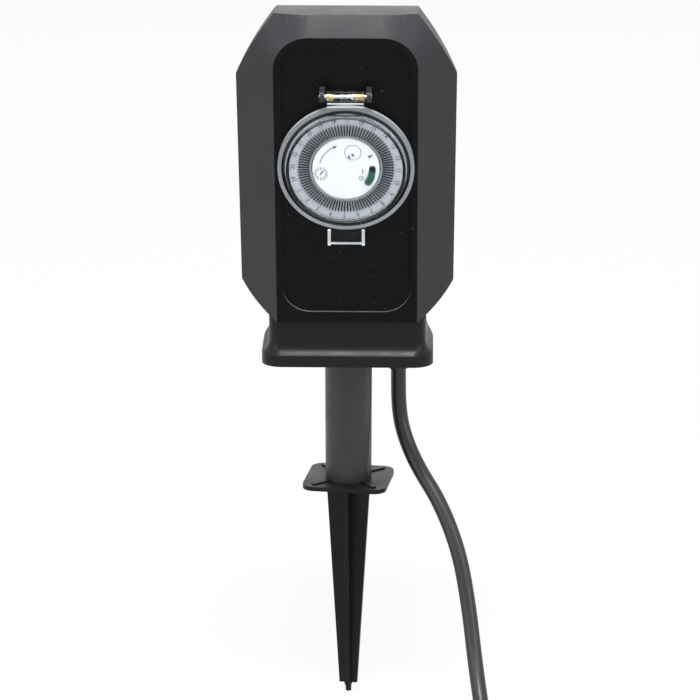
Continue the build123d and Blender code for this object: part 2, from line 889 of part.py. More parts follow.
def slider_band(half, low_angle, high_angle, low, high):
    """A curved bar with round ends on the slider's arc, of the given half width."""
    middle = ring(slider_radius + half, slider_radius - half, low, high)
    reach = 2 * slider_radius
    wedge = [(0, 0)]
    for share in (0, 1 / 2, 1):
        turn = radians(low_angle + share * (high_angle - low_angle))
        wedge.append((reach * cos(turn), reach * sin(turn)))
    middle &= Pos(0, 0, low) * extrude(make_face(Polyline(wedge, close=True)), high - low)
    for angle in (low_angle, high_angle):
        middle += at_angle(slider_radius, angle) * drum(half, low, high)
    return middle


def label_disc():
    low, high = label_back(), dial_front + label_proud
    body = drum(label_radius, low, high)
    body -= slider_band(
        slider_wide / 2, slider_slot_low_angle, slider_slot_high_angle, low - overrun, high + overrun
    )
    window = Rot(0, 0, window_turn_angle) * extrude(Ellipse(window_long / 2, window_wide / 2), 2 * overrun)
    body -= Pos(window_x, window_y, low - overrun) * window
    stub = drum(indicator_pin, low - indicator_thick - running_gap, high)
    bridge = Rot(0, 0, window_turn_angle + 90) * block(window_wide + screw_gap, 2 * indicator_pin, low, high)
    return body + Pos(window_x, window_y, 0) * (stub + bridge)


def mode_slider():
    """The knob in the label's curved slot, on an arm that turns on the centre pin."""
    top = label_back() - running_gap
    low = top - slider_foot_thick
    half = slider_wide / 2 - running_gap
    end = slider_slot_high_angle - slider_travel_angle
    foot = drum(2 * center_pin_radius, low, top)
    middle = (slider_slot_low_angle + end) / 2
    arm = Pos(slider_radius / 2, 0, 0) * block(slider_radius, 2 * half, low, top)
    foot += Rot(0, 0, middle) * arm
    knob_top = dial_front + label_proud + slider_proud
    knob = slider_band(half, slider_slot_low_angle, end, low, knob_top)
    body = foot + knob
    for number in range(slider_rib_count):
        angle = slider_slot_low_angle + (number + 1 / 2) * (end - slider_slot_low_angle) / slider_rib_count
        rib = block(2 * half, slider_rib_wide, knob_top, knob_top + slider_rib_tall)
        body += at_angle(slider_radius, angle) * Rot(0, 0, angle) * rib
    return body - drum(center_pin_radius + running_gap, low - overrun, top + overrun)


def run_indicator():
    """The small disc that turns under the label's oval window while the motor runs."""
    high = label_back() - running_gap
    body = ring(indicator_radius, indicator_pin + running_gap, high - indicator_thick, high)
    for angle in (0, 120, 240):
        body -= at_angle(indicator_radius * 2 / 3, angle) * drum(
            indicator_pin, high - indicator_thick / 2, high + overrun
        )
    return Pos(window_x, window_y, 0) * body


def timer_lid():
    """The clear lid: flange, drum, window, hinge arm with its barrel, and a finger tab."""
    flange_top = lid_seat + lid_flange_thick
    body = drum(lid_radius, lid_seat, flange_top) + drum(lid_drum_radius, lid_seat, lid_drum_front)
    body = fillet(body.edges().sort_by(Axis.Z)[-1], lid_edge_round)
    body -= drum(lid_drum_radius - lid_wall, lid_seat - overrun, lid_drum_front - lid_window_thick)
    arm_low = lid_hinge_out - lid_arm_thick / 2
    arm = Pos(0, (lid_drum_radius + lid_hinge_rise) / 2, 0) * block(
        2 * lid_barrel_half, lid_hinge_rise - lid_drum_radius, arm_low, arm_low + lid_arm_thick
    )
    web = Pos(0, (lid_drum_radius + lid_radius) / 2 - lid_wall / 2, 0) * block(
        2 * lid_barrel_half, lid_radius - lid_drum_radius - lid_wall, lid_seat, arm_low + lid_arm_thick
    )
    tab_end = lid_radius + lid_tab_long
    tab = Pos(0, -(lid_drum_radius + tab_end) / 2, 0) * block(
        2 * lid_tab_half, tab_end - lid_drum_radius, lid_seat, flange_top
    )
    for side in (-1, 1):
        x = side * (lid_tab_half - lid_tab_rim / 2)
        tab += Pos(x, -(lid_radius + tab_end) / 2, 0) * block(
            lid_tab_rim, tab_end - lid_radius, lid_seat, flange_top + lid_tab_rim_tall
        )
    body += arm + web + tab
    hinge = Pos(0, lid_hinge_rise, lid_hinge_out) * Rot(0, 90, 0)
    body += hinge * drum(lid_barrel_radius, -lid_barrel_half, lid_barrel_half)
    body -= hinge * drum(lid_pin_radius + running_gap, -lid_radius, lid_radius)
    body -= hinge * drum(spring_bore, -lid_radius, spring_left_long - lid_barrel_half)
    body -= hinge * drum(spring_bore, lid_barrel_half - spring_right_long, lid_radius)
    return body


def timer_lid_pin():
    long = ear_inner + ear_thick + screw_gap
    return Pos(0, lid_hinge_rise, lid_hinge_out) * Rot(0, 90, 0) * drum(lid_pin_radius, -long, long)


def timer_lid_springs():
    springs = Part()
    for side, long in ((-1, spring_left_long), (1, spring_right_long)):
        x = side * (lid_barrel_half - long / 2)
        coil = coil_spring(spring_radius, spring_wire, spring_turn_pitch, long - fit_gap)
        springs += Pos(x, lid_hinge_rise, lid_hinge_out) * Rot(0, 90, 0) * coil
    return springs


def timer_gasket():
    return ring(gasket_outer, gasket_inner, -pocket_deep, lid_seat - fit_gap)


# outlet pieces, each in its outlet's own frame


def outlet_insert():
    """The recessed socket: flange, cup and floor with two contact holes and clip slots."""
    outer = recess_radius + insert_wall
    body = drum(outer, -recess_depth - insert_floor, insert_flange_thick)
    body += drum(insert_flange_radius, 0, insert_flange_thick)
    body -= drum(recess_radius, -recess_depth, insert_flange_thick + overrun)
    for side in (-1, 1):
        body -= Pos(side * pin_pitch / 2, 0, 0) * drum(
            pin_hole_radius, -recess_depth - insert_floor - overrun, -recess_depth + overrun
        )
        slot = Pos(0, side * (recess_radius - clip_thick / 2), 0) * block(
            clip_wide + 2 * screw_gap,
            clip_thick + 2 * screw_gap,
            -recess_depth - insert_floor - overrun,
            -recess_depth + overrun,
        )
        body -= slot
        hole = drum(small_screw_radius + screw_gap, -overrun, 2 * overrun)
        body -= Rot(0, 0, outlet_screw_angle) * Pos(side * outlet_screw_radius, 0, 0) * hole
    return body


def outlet_screws():
    screws = Part()
    grip = insert_flange_thick + hood_wall
    one = screw(small_screw_radius, small_head_radius, small_head_tall, grip)
    for z in outlets.values():
        for side in (-1, 1):
            spot = Rot(0, 0, outlet_screw_angle) * Pos(side * outlet_screw_radius, 0, insert_flange_thick)
            screws += outlet_plane(z).location * spot * one
    return screws


def earth_clips():
    """Two sprung strips at the recess's top and bottom, joined by a strap behind the floor."""
    back = -recess_depth - insert_floor - screw_gap
    y = recess_radius - clip_thick
    front = -recess_depth + clip_tall
    middle = (front - recess_depth) / 2
    half = [
        (y, back), (y, -recess_depth), (y - clip_bow, middle), (y, front),
        (y + clip_thick / 2, front), (y - clip_bow + clip_thick, middle), (y + clip_thick, -recess_depth),
        (y + clip_thick, back),
    ]
    strip = extrude(Plane.YZ * make_face(Polyline(half, close=True)), clip_wide / 2, both=True)
    strap = block(clip_wide, 2 * (y + clip_thick), back - clip_thick, back)
    return strip + mirror(strip, about=Plane.XZ) + strap


def outlet_contacts():
    """Two slit brass tubes behind the floor that take the plug's pins."""
    back = -recess_depth - insert_floor - screw_gap
    tubes = Part()
    for side in (-1, 1):
        end = back - contact_tube_long
        tube = ring(contact_outer, contact_inner, end, back)
        tube -= block(4 * contact_outer, contact_slit, end - overrun, end + contact_tube_long / 2)
        tubes += Pos(side * pin_pitch / 2, 0, 0) * tube
    return tubes


def outlet_lid():
    """A sprung cover over one outlet: a shallow cap with two hinge knuckles and a finger tab."""
    low = outlet_gasket_thick + fit_gap
    side = 2 * outlet_lid_half
    body = slab(side, side, outlet_lid_corner, low, low + outlet_lid_deep)
    body = fillet(body.faces().sort_by(Axis.Z)[-1].edges(), outlet_lid_wall * 2 / 3)
    inner = side - 2 * outlet_lid_wall
    ceiling = low + outlet_lid_deep - outlet_lid_wall
    body -= slab(inner, inner, outlet_lid_corner - outlet_lid_wall, low - overrun, ceiling)
    tab_low = low + (outlet_lid_deep - outlet_tab_thick) / 2
    body += Pos(0, -outlet_lid_half - (outlet_tab_long - outlet_lid_wall) / 2, 0) * block(
        2 * outlet_tab_half, outlet_tab_long + outlet_lid_wall, tab_low, tab_low + outlet_tab_thick
    )
    for hand in (-1, 1):
        long = outlet_knuckle_outer - outlet_knuckle_inner
        middle = hand * (outlet_knuckle_inner + outlet_knuckle_outer) / 2
        knuckle = Pos(middle, outlet_hinge_rise, outlet_hinge_out) * Rot(0, 90, 0) * drum(
            outlet_barrel_radius, -long / 2, long / 2
        )
        reach = outlet_hinge_rise - outlet_lid_half + outlet_lid_wall
        arm = Pos(middle, outlet_hinge_rise - reach / 2, 0) * block(
            long, reach, low + outlet_lid_wall, outlet_hinge_out + outlet_barrel_radius
        )
        body += knuckle + arm
    bore = drum(outlet_pin_radius + running_gap, -outlet_lid_half, outlet_lid_half)
    return body - Pos(0, outlet_hinge_rise, outlet_hinge_out) * Rot(0, 90, 0) * bore


def outlet_lid_pin():
    long = outlet_knuckle_outer + fit_gap + outlet_lug_thick + screw_gap
    return Pos(0, outlet_hinge_rise, outlet_hinge_out) * Rot(0, 90, 0) * drum(outlet_pin_radius, -long, long)


def outlet_lid_spring():
    long = 2 * (outlet_knuckle_inner - fit_gap)
    coil = coil_spring(outlet_spring_radius, outlet_spring_wire, outlet_spring_pitch, long)
    return Pos(0, outlet_hinge_rise, outlet_hinge_out) * Rot(0, 90, 0) * coil


def outlet_gasket():
    outer = 2 * outlet_lid_half
    inner = outer - 2 * outlet_gasket_wide
    corner = outlet_lid_corner
    body = slab(outer, outer, corner, 0, outlet_gasket_thick)
    return body - slab(inner, inner, corner - outlet_gasket_wide, -overrun, overrun)


# wiring, grip and clamp in the foot


def terminal_block():
    """The three-pole terminal block that stands on the socket's cap."""
    body = Pos(0, 0, socket_top) * block(terminal_width, terminal_depth, 0, terminal_tall)
    for number in (-1, 0, 1):
        x = number * terminal_pitch
        middle = socket_top + terminal_tall / 3
        body -= along_y(x, middle, terminal_hole_radius, -terminal_depth, terminal_depth)
        for side in (-1, 1):
            body -= Pos(x, side * terminal_depth / 4, 0) * drum(
                small_screw_radius + screw_gap, middle, socket_top + terminal_tall + overrun
            )
    return body


def terminal_screws():
    screws = Part()
    top = socket_top + terminal_tall
    for number in (-1, 0, 1):
        for side in (-1, 1):
            screws += Pos(number * terminal_pitch, side * terminal_depth / 4, top) * screw(
                small_screw_radius, small_head_radius, small_head_tall, terminal_tall / 3
            )
    return screws


def wire(points):
    """An insulated wire: straight runs joined by arcs as large as the runs allow."""
    return tube_along(points, wire_radius, False)


def tube_along(points, radius, show):
    """A round tube along points, straight runs joined by tangent arcs."""
    vectors = [Vector(*point) for point in points]
    radii = []
    for before, here, after in zip(vectors, vectors[1:], vectors[2:]):
        turn = (here - before).get_angle(after - here)
        shorter = min((here - before).length, (after - here).length)
        radii.append(bend_share * shorter / tan(radians(turn) / 2))
    line = FilletPolyline(*vectors, radius=radii)
    tube = sweep(Plane(origin=line @ 0, z_dir=line % 0) * Circle(radius), path=line)
    if show:
        print("bend radii", [round(value) for value in radii])
        share = tube.volume / (pi * radius**2 * line.length)
        print("tube volume share", round(share, 4), "length", round(line.length))
    return tube


def tab_run(number, lead):
    """The two last points of a wire that ends on one of the switch's tabs."""
    low = case_front - case_deep - contact_long
    across = switch_center + number * contact_pitch
    ends = [dial.location * switch_place() * Pos(across, 0, low - back) for back in (lead, 0)]
    return [tuple(end.position) for end in ends]


def contact_run(side, z, lead):
    """The two last points of a wire that ends inside one contact of the outlet at a height."""
    x = side * pin_pitch / 2
    back = rear_y - recess_depth - insert_floor - screw_gap - contact_tube_long
    return [(x, back - lead, z), (x, back + contact_outer / 2, z)]


def terminal_run(number, side, lead):
    """The two last points of a wire that ends in one hole of the terminal block."""
    x = number * terminal_pitch
    return [(x, side * (terminal_depth / 2 + lead), terminal_z), (x, side * terminal_depth / 3, terminal_z)]


def strap_run(height, lead):
    """The two last points of a wire that ends on the earth strap at a height."""
    back = rear_y - recess_depth - insert_floor - screw_gap - clip_thick
    return [(0, back - lead, height), (0, back - running_gap, height)]


def core_start(x_share, y_share):
    """Where a core leaves the cord's sheath, as shares of the cord's radius."""
    top = floor_bottom + cord_tail_long + fit_gap
    return (cord_x + x_share * cord_radius, cord_y + y_share * cord_radius, top)


def live_wires():
    start = core_start(*live_core_shares)
    row_y = terminal_depth / 2 + 6 * wire_radius
    row_z = socket_top + wire_radius + running_gap
    up = (start[0], row_y, row_z)
    supply = [start, up, (-terminal_pitch / 2, row_y, row_z)] + terminal_run(-1, 1, 3 * wire_radius)
    out = terminal_run(-1, -1, terminal_depth / 2)
    tab = tab_run(-1, terminal_depth / 2)
    middle = (terminal_pitch / 3, tab[0][1], (terminal_z + tab[0][2]) / 2)
    return wire(supply) + wire(list(reversed(out)) + [middle] + tab)


def switched_wires():
    wires = Part()
    for number, z in ((1, outlet_low_z), (0, outlet_high_z)):
        tab = tab_run(number, terminal_depth / 2)
        contact = contact_run(1, z, terminal_depth / 2)
        share = 1 / 3
        middle = tuple(a + share * (b - a) for a, b in zip(tab[0], contact[0]))
        middle = (middle[0] + terminal_pitch / 2, middle[1], middle[2])
        wires += wire(list(reversed(tab)) + [middle] + contact)
    return wires


def neutral_wires():
    start = core_start(*neutral_core_shares)
    row_y = terminal_depth / 2 + 6 * wire_radius
    up = (start[0] + wire_radius / 2, row_y, terminal_z)
    supply = [start, up] + terminal_run(0, 1, 6 * wire_radius)
    out = terminal_run(0, -1, terminal_depth / 4)
    low = contact_run(-1, outlet_low_z, terminal_depth / 2)
    bend = (-2 * terminal_pitch, -terminal_depth * 3 / 4, (terminal_z + outlet_low_z) / 2)
    side_x = -pin_pitch / 2 - contact_outer
    back = low[1][1] + contact_outer / 2
    rise = [
        (side_x - running_gap, back, outlet_low_z),
        (side_x - terminal_pitch, back, outlet_low_z + wire_radius),
        (side_x - terminal_pitch, back - terminal_pitch, outlet_low_z + outlet_pitch / 2),
    ]
    high = contact_run(-1, outlet_high_z, terminal_depth / 2)
    return wire(supply) + wire(list(reversed(out)) + [bend] + low) + wire(rise + high)


def earth_wires():
    start = core_start(*earth_core_shares)
    row_y = terminal_depth / 2 + 3 * wire_radius
    up = (start[0], row_y, terminal_z)
    supply = [start, up] + terminal_run(1, 1, 3 * wire_radius)
    out = terminal_run(1, -1, terminal_depth / 2)
    low_strap = strap_run(outlet_low_z + recess_radius / 3, terminal_depth / 2)
    bends = [
        (3 * terminal_pitch, -terminal_depth / 2, (terminal_z + outlet_low_z) / 2),
        (2 * terminal_pitch, low_strap[0][1], outlet_low_z + recess_radius / 3),
    ]
    lower_end = strap_run(outlet_low_z + recess_radius * 5 / 6, terminal_depth / 3)
    upper_end = strap_run(outlet_high_z - recess_radius * 5 / 6, terminal_depth / 3)
    bow = (0, lower_end[0][1] - wire_radius * 2, (outlet_low_z + outlet_high_z) / 2)
    link = list(reversed(lower_end)) + [bow] + upper_end
    return wire(supply) + wire(list(reversed(out)) + bends + low_strap) + wire(link)


def cord_grip():
    """The moulded strain relief: a shank through the floor and a long taper round the cord."""
    shank = drum(grip_shank_radius, floor_bottom, floor_top + grip_nut_thick)
    taper = Pos(0, 0, floor_bottom - grip_long) * Cone(
        grip_foot_radius, grip_top_radius, grip_long, align=(Align.CENTER, Align.CENTER, Align.MIN)
    )
    low = floor_bottom - grip_long - overrun
    bore = drum(cord_radius + cord_grip_gap, low, floor_top + grip_nut_thick + overrun)
    return Pos(cord_x, cord_y, 0) * (shank + taper - bore)


def grip_nut():
    return Pos(cord_x, cord_y, 0) * ring(
        grip_nut_radius, grip_shank_radius + screw_gap, floor_top, floor_top + grip_nut_thick
    )


def cord_tail():
    """The last of the cord's sheath, inside the foot, up to the clamp."""
    return Pos(cord_x, cord_y, 0) * drum(cord_radius, floor_bottom, floor_bottom + cord_tail_long)


def cord_clamp():
    bar = Pos(cord_x, clamp_y + clamp_bar_thick / 2, 0) * block(
        clamp_bar_long, clamp_bar_thick, clamp_bar_low, clamp_bar_low + clamp_bar_tall
    )
    for side in (-1, 1):
        x = cord_x + side * clamp_screw_x
        z = clamp_bar_low + clamp_bar_tall / 2
        bar -= along_y(x, z, small_screw_radius + screw_gap, cord_y - neck_depth, cord_y)
    return bar


def clamp_screws():
    screws = Part()
    grip = clamp_bar_thick + 2 * (cord_radius + screw_gap) + clamp_pad_deep * 2 / 3
    for side in (-1, 1):
        x = cord_x + side * clamp_screw_x
        z = clamp_bar_low + clamp_bar_tall / 2
        screws += Pos(x, clamp_y, z) * Rot(90, 0, 0) * screw(
            small_screw_radius, small_head_radius, small_head_tall, grip
        )
    return screws


# supply cord, coil and plug on the floor


def cord_tube():
    return tube_along(cord_route, cord_radius, True)


def cord_coil():
    body = ring(coil_turn_radius + coil_thick / 2, coil_turn_radius - coil_thick / 2, 0, coil_tall)
    return Pos(coil_x, coil_y, 0) * body


def coil_tie():
    """A strap over the coil's bundle of turns, down to the floor on both sides."""
    reach = coil_thick + 2 * (fit_gap + tie_thick)
    top = coil_tall + running_gap
    strap = block(reach, tie_wide, 0, top + tie_thick)
    strap -= block(reach - 2 * tie_thick, tie_wide + overrun, -overrun, top)
    return Pos(coil_x, coil_y, 0) * Rot(0, 0, tie_angle) * Pos(coil_turn_radius, 0, 0) * strap


def lead_angle():
    """The direction from the plug along its lead, which leaves the coil's outer turn at a tangent."""
    across, along = coil_x - plug_x, coil_y - plug_y
    turn = asin((coil_turn_radius + cord_radius) / hypot(across, along))
    return degrees(atan2(along, across) - turn)


def plug_place():
    """The plug's frame: pins up, lead along its X axis."""
    return Pos(plug_x, plug_y, 0) * Rot(0, 0, lead_angle())


def plug_body():
    """An angled earthed plug lying on its back, with the lead's tapered relief."""
    body = drum(plug_radius, 0, plug_tall)
    body = fillet(body.edges().sort_by(Axis.Z)[0], plug_notch_deep)
    boss_end = plug_radius + plug_boss_long
    body += Pos(boss_end / 2, 0, plug_lead_z) * block(
        boss_end, plug_boss_wide, -plug_boss_tall / 2, plug_boss_tall / 2
    )
    relief = Cone(
        plug_relief_big, plug_relief_small, plug_relief_long, align=(Align.CENTER, Align.CENTER, Align.MIN)
    )
    body += Pos(boss_end, 0, plug_lead_z) * Rot(0, 90, 0) * relief
    for side in (-1, 1):
        notch = block(plug_notch_wide, 2 * plug_notch_deep, plug_tall / 2, plug_tall + overrun)
        body -= Pos(0, side * plug_radius, 0) * notch
        body -= Pos(side * pin_pitch / 2, 0, 0) * drum(
            plug_stub_radius + running_gap, plug_tall - plug_pin_seat, plug_tall + overrun
        )
    return plug_place() * body


def plug_pins():
    pins = Part()
    for side in (-1, 1):
        pin = drum(plug_pin_radius, plug_tall, plug_tall + plug_pin_long)
        pin = fillet(pin.edges().sort_by(Axis.Z)[-1], plug_pin_radius / 2)
        pin += drum(plug_stub_radius, plug_tall - plug_pin_seat, plug_tall)
        pins += Pos(side * pin_pitch / 2, 0, 0) * pin
    return plug_place() * pins


def plug_earth():
    """The earth strips in the plug's two side notches."""
    strips = Part()
    for side in (-1, 1):
        y = side * (plug_radius - plug_notch_deep + earth_strip_thick / 2)
        strips += Pos(0, y, 0) * block(earth_strip_wide, earth_strip_thick, plug_tall / 2, plug_tall)
    return plug_place() * strips


def plug_lead():
    """The straight end of the lead between the coil and the plug."""
    start = plug_radius + plug_boss_long + plug_relief_long
    end = sqrt((coil_x - plug_x) ** 2 + (coil_y - plug_y) ** 2 - (coil_turn_radius + cord_radius) ** 2)
    return plug_place() * Pos(start, 0, plug_lead_z) * Rot(0, 90, 0) * drum(cord_radius, 0, end - start)


def main():
    in_dial = dial.location
    pieces = {
        "front_cover": front_cover(),
        "rear_cover": rear_cover(),
        "hood_foot": hood_foot(),
        "post": post(),
        "ground_spike": ground_spike(),
        "post_screws": post_screws(),
        "foot_screws": foot_screws(),
        "cover_screws": cover_screws(),
        "timer_case": in_dial * case_with_slots(),
        "timer_screws": in_dial * timer_screws(),
        "dial_ring": in_dial * dial_ring(),
        "trippers": in_dial * trippers(),
        "dial_gear": in_dial * dial_gear(),
        "idler_gear": in_dial * idler_gear(),
        "motor_pinion": in_dial * motor_pinion(),
        "timer_motor": in_dial * timer_motor(),
        "timer_switch": in_dial * timer_switch(),
        "switch_lever": in_dial * switch_lever(),
        "switch_tabs": in_dial * switch_tabs(),
        "label_disc": in_dial * label_disc(),
        "mode_slider": in_dial * mode_slider(),
        "run_indicator": in_dial * run_indicator(),
        "timer_lid": in_dial * timer_lid(),
        "timer_lid_pin": in_dial * timer_lid_pin(),
        "timer_lid_springs": in_dial * timer_lid_springs(),
        "timer_gasket": in_dial * timer_gasket(),
        "outlet_screws": outlet_screws(),
        "terminal_block": terminal_block(),
        "terminal_screws": terminal_screws(),
        "cord_grip": cord_grip(),
        "grip_nut": grip_nut(),
        "cord_tail": cord_tail(),
        "cord_clamp": cord_clamp(),
        "clamp_screws": clamp_screws(),
        "cord_tube": cord_tube(),
        "cord_coil": cord_coil(),
        "coil_tie": coil_tie(),
        "plug_lead": plug_lead(),
        "plug_body": plug_body(),
        "plug_pins": plug_pins(),
        "plug_earth": plug_earth(),
        "live_wires": live_wires(),
        "switched_wires": switched_wires(),
        "neutral_wires": neutral_wires(),
        "earth_wires": earth_wires(),
    }
    for name, z in outlets.items():
        place = outlet_plane(z).location
        pieces[name + "_outlet_insert"] = place * outlet_insert()
        pieces[name + "_earth_clips"] = place * earth_clips()
        pieces[name + "_contacts"] = place * outlet_contacts()
        pieces[name + "_lid"] = place * outlet_lid()
        pieces[name + "_lid_pin"] = place * outlet_lid_pin()
        pieces[name + "_lid_spring"] = place * outlet_lid_spring()
        pieces[name + "_lid_gasket"] = place * outlet_gasket()
    return pieces


os.makedirs("parts", exist_ok=True)
for name, shape in main().items():
    export_step(shape, "parts/" + name + ".step")
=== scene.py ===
import json
from math import cos, pi, radians, sin

import bmesh
import bpy
import numpy as np
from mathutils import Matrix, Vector


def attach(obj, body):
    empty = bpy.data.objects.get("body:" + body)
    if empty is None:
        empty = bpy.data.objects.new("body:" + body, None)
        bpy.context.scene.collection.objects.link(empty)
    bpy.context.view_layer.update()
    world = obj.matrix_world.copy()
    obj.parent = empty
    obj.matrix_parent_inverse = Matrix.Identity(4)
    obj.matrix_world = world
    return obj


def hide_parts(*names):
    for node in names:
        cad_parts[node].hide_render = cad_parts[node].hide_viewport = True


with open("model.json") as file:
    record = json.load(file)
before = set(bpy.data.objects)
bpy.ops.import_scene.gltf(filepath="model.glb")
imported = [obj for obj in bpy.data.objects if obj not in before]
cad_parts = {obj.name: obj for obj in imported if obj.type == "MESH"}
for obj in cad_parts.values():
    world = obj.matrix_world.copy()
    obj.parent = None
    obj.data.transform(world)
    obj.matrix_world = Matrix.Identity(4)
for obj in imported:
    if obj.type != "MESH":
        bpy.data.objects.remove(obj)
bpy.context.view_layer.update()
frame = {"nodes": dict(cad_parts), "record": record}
nodes = frame["nodes"]
scene = bpy.context.scene
mm = 0.001

# camera

view_distance = 2.0
view_pitch = radians(17.0)
view_turn = radians(1.2)
view_aim = Vector((0.0008, 0, 0.2011))
view_lens = 187.2


def make_camera():
    """The camera stands on a ray from the aim point, raised by the pitch and turned to the right."""
    data = bpy.data.cameras.new("camera")
    data.lens = view_lens
    data.sensor_width = 36.0
    data.sensor_fit = "HORIZONTAL"
    data.clip_end = 20.0
    camera = bpy.data.objects.new("camera", data)
    scene.collection.objects.link(camera)
    away = Vector((cos(view_pitch) * sin(view_turn), -cos(view_pitch) * cos(view_turn), sin(view_pitch)))
    camera.location = view_aim + view_distance * away
    camera.rotation_euler = (-away).to_track_quat("-Z", "Y").to_euler()
    scene.camera = camera


make_camera()

# materials


def group_of(name, inputs, outputs):
    """An empty shader group with named sockets: (name, kind, default) going in, (name, kind) coming out."""
    group = bpy.data.node_groups.new(name, "ShaderNodeTree")
    for label, kind, default in inputs:
        socket = group.interface.new_socket(label, in_out="INPUT", socket_type=kind)
        socket.default_value = default
    for label, kind in outputs:
        group.interface.new_socket(label, in_out="OUTPUT", socket_type=kind)
    return group, group.nodes.new("NodeGroupInput"), group.nodes.new("NodeGroupOutput")


def math_node(tree, operation, first, second=None, third=None, clamp=False):
    """A calculation on up to three values or sockets."""
    node = tree.nodes.new("ShaderNodeMath")
    node.operation = operation
    node.use_clamp = clamp
    for socket, value in zip(node.inputs, (first, second, third)):
        if isinstance(value, bpy.types.NodeSocket):
            tree.links.new(value, socket)
        elif value is not None:
            socket.default_value = value
    return node.outputs[0]


def noise_node(tree, place, scale, detail=2.0, roughness=0.5):
    """Noise at a place, with its patches per metre as the scale."""
    node = tree.nodes.new("ShaderNodeTexNoise")
    tree.links.new(place, node.inputs["Vector"])
    if isinstance(scale, bpy.types.NodeSocket):
        tree.links.new(scale, node.inputs["Scale"])
    else:
        node.inputs["Scale"].default_value = scale
    node.inputs["Detail"].default_value = detail
    node.inputs["Roughness"].default_value = roughness
    return node.outputs["Fac"]


def ramp(tree, value, low, high, to_low=0.0, to_high=1.0):
    """value carried from the range low..high to to_low..to_high, and held at its ends."""
    node = tree.nodes.new("ShaderNodeMapRange")
    tree.links.new(value, node.inputs["Value"])
    for label, number in (("From Min", low), ("From Max", high), ("To Min", to_low), ("To Max", to_high)):
        if isinstance(number, bpy.types.NodeSocket):
            tree.links.new(number, node.inputs[label])
        else:
            node.inputs[label].default_value = number
    return node.outputs["Result"]


def blend_colors(tree, share, first, second):
    """The first colour carried to the second by the share."""
    node = tree.nodes.new("ShaderNodeMix")
    node.data_type = "RGBA"
    node.blend_type = "MIX"
    pairs = ((node.inputs[0], share), (node.inputs[6], first), (node.inputs[7], second))
    for socket, value in pairs:
        if isinstance(value, bpy.types.NodeSocket):
            tree.links.new(value, socket)
        else:
            socket.default_value = value
    return node.outputs[2]


# the moulded plastic's clouds and specks of dust: patches per metre, and the noise at which a speck shows
clouds_per_metre = 45.0
specks_per_metre = 900.0
speck_low, speck_high = 0.85, 0.88
speck_color = (0.22, 0.22, 0.23, 1)
cloud_gloss_share = 0.5


def make_moulded():
    """Spark-eroded grain: fine cells for the height, slow clouds for tone and gloss, rare specks of dust."""
    group, inward, outward = group_of(
        "moulded grain",
        (
            ("Color", "NodeSocketColor", (0.02, 0.02, 0.02, 1)),
            ("Roughness", "NodeSocketFloat", 0.45),
            ("Grain per metre", "NodeSocketFloat", 2200.0),
            ("Cloud", "NodeSocketFloat", 0.15),
            ("Dust", "NodeSocketFloat", 0.0),
        ),
        (("Color", "NodeSocketColor"), ("Roughness", "NodeSocketFloat"), ("Height", "NodeSocketFloat")),
    )
    place = group.nodes.new("ShaderNodeTexCoord").outputs["Object"]
    grain = noise_node(group, place, inward.outputs["Grain per metre"], 3.0, 0.55)
    cloud = noise_node(group, place, clouds_per_metre, 4.0, 0.6)
    swing = math_node(group, "MULTIPLY", ramp(group, cloud, 0.3, 0.7, -1.0, 1.0), inward.outputs["Cloud"])
    tone = math_node(group, "ADD", swing, 1.0)
    scaled = group.nodes.new("ShaderNodeVectorMath")
    scaled.operation = "SCALE"
    group.links.new(inward.outputs["Color"], scaled.inputs[0])
    group.links.new(tone, scaled.inputs["Scale"])
    speck = ramp(group, noise_node(group, place, specks_per_metre, 0.0), speck_low, speck_high)
    rare = math_node(group, "MULTIPLY", speck, inward.outputs["Dust"])
    group.links.new(blend_colors(group, rare, scaled.outputs[0], speck_color), outward.inputs["Color"])
    rough = math_node(
        group, "MULTIPLY_ADD", swing, cloud_gloss_share, inward.outputs["Roughness"], clamp=True
    )
    group.links.new(rough, outward.inputs["Roughness"])
    group.links.new(grain, outward.inputs["Height"])
    return group


moulded = make_moulded()


def new_material(name):
    """A new material with its node tree and its shader."""
    material = bpy.data.materials.new(name)
    material.use_nodes = True
    return material, material.node_tree, material.node_tree.nodes["Principled BSDF"]


def plastic(name, color, roughness, grain, specular=0.5, cloud=0.12, dust=0.0):
    """A moulded plastic; its grain is a pair, the cells per metre and their height in metres."""
    material, tree, shader = new_material(name)
    cells, depth = grain
    finish = tree.nodes.new("ShaderNodeGroup")
    finish.node_tree = moulded
    finish.inputs["Color"].default_value = (*color, 1)
    finish.inputs["Roughness"].default_value = roughness
    finish.inputs["Grain per metre"].default_value = cells
    finish.inputs["Cloud"].default_value = cloud
    finish.inputs["Dust"].default_value = dust
    bump = tree.nodes.new("ShaderNodeBump")
    bump.inputs["Distance"].default_value = depth
    bump.inputs["Strength"].default_value = 1.0
    tree.links.new(finish.outputs["Height"], bump.inputs["Height"])
    tree.links.new(finish.outputs["Color"], shader.inputs["Base Color"])
    tree.links.new(finish.outputs["Roughness"], shader.inputs["Roughness"])
    tree.links.new(bump.outputs["Normal"], shader.inputs["Normal"])
    shader.inputs["Specular IOR Level"].default_value = specular
    return material


# grain of each moulding or metal: cells per metre and their height in metres
hood_grain = (1400.0, 0.00009)
foot_grain = (1400.0, 0.00004)
post_grain = (1500.0, 0.00005)
outlet_lid_grain = (2400.0, 0.00003)
insert_grain = (2600.0, 0.00002)
pocket_grain = (2600.0, 0.00001)
cord_grain = (1600.0, 0.00001)
gear_grain = (3000.0, 0.000006)
dial_grain = (3000.0, 0.000004)
print_grain = (3000.0, 0.000003)
metal_grain = (1500.0, 0.00001)


def metal(name, color, roughness):
    """A plain metal with faint handling marks."""
    material = plastic(name, color, roughness, metal_grain)
    material.node_tree.nodes["Principled BSDF"].inputs["Metallic"].default_value = 1.0
    return material


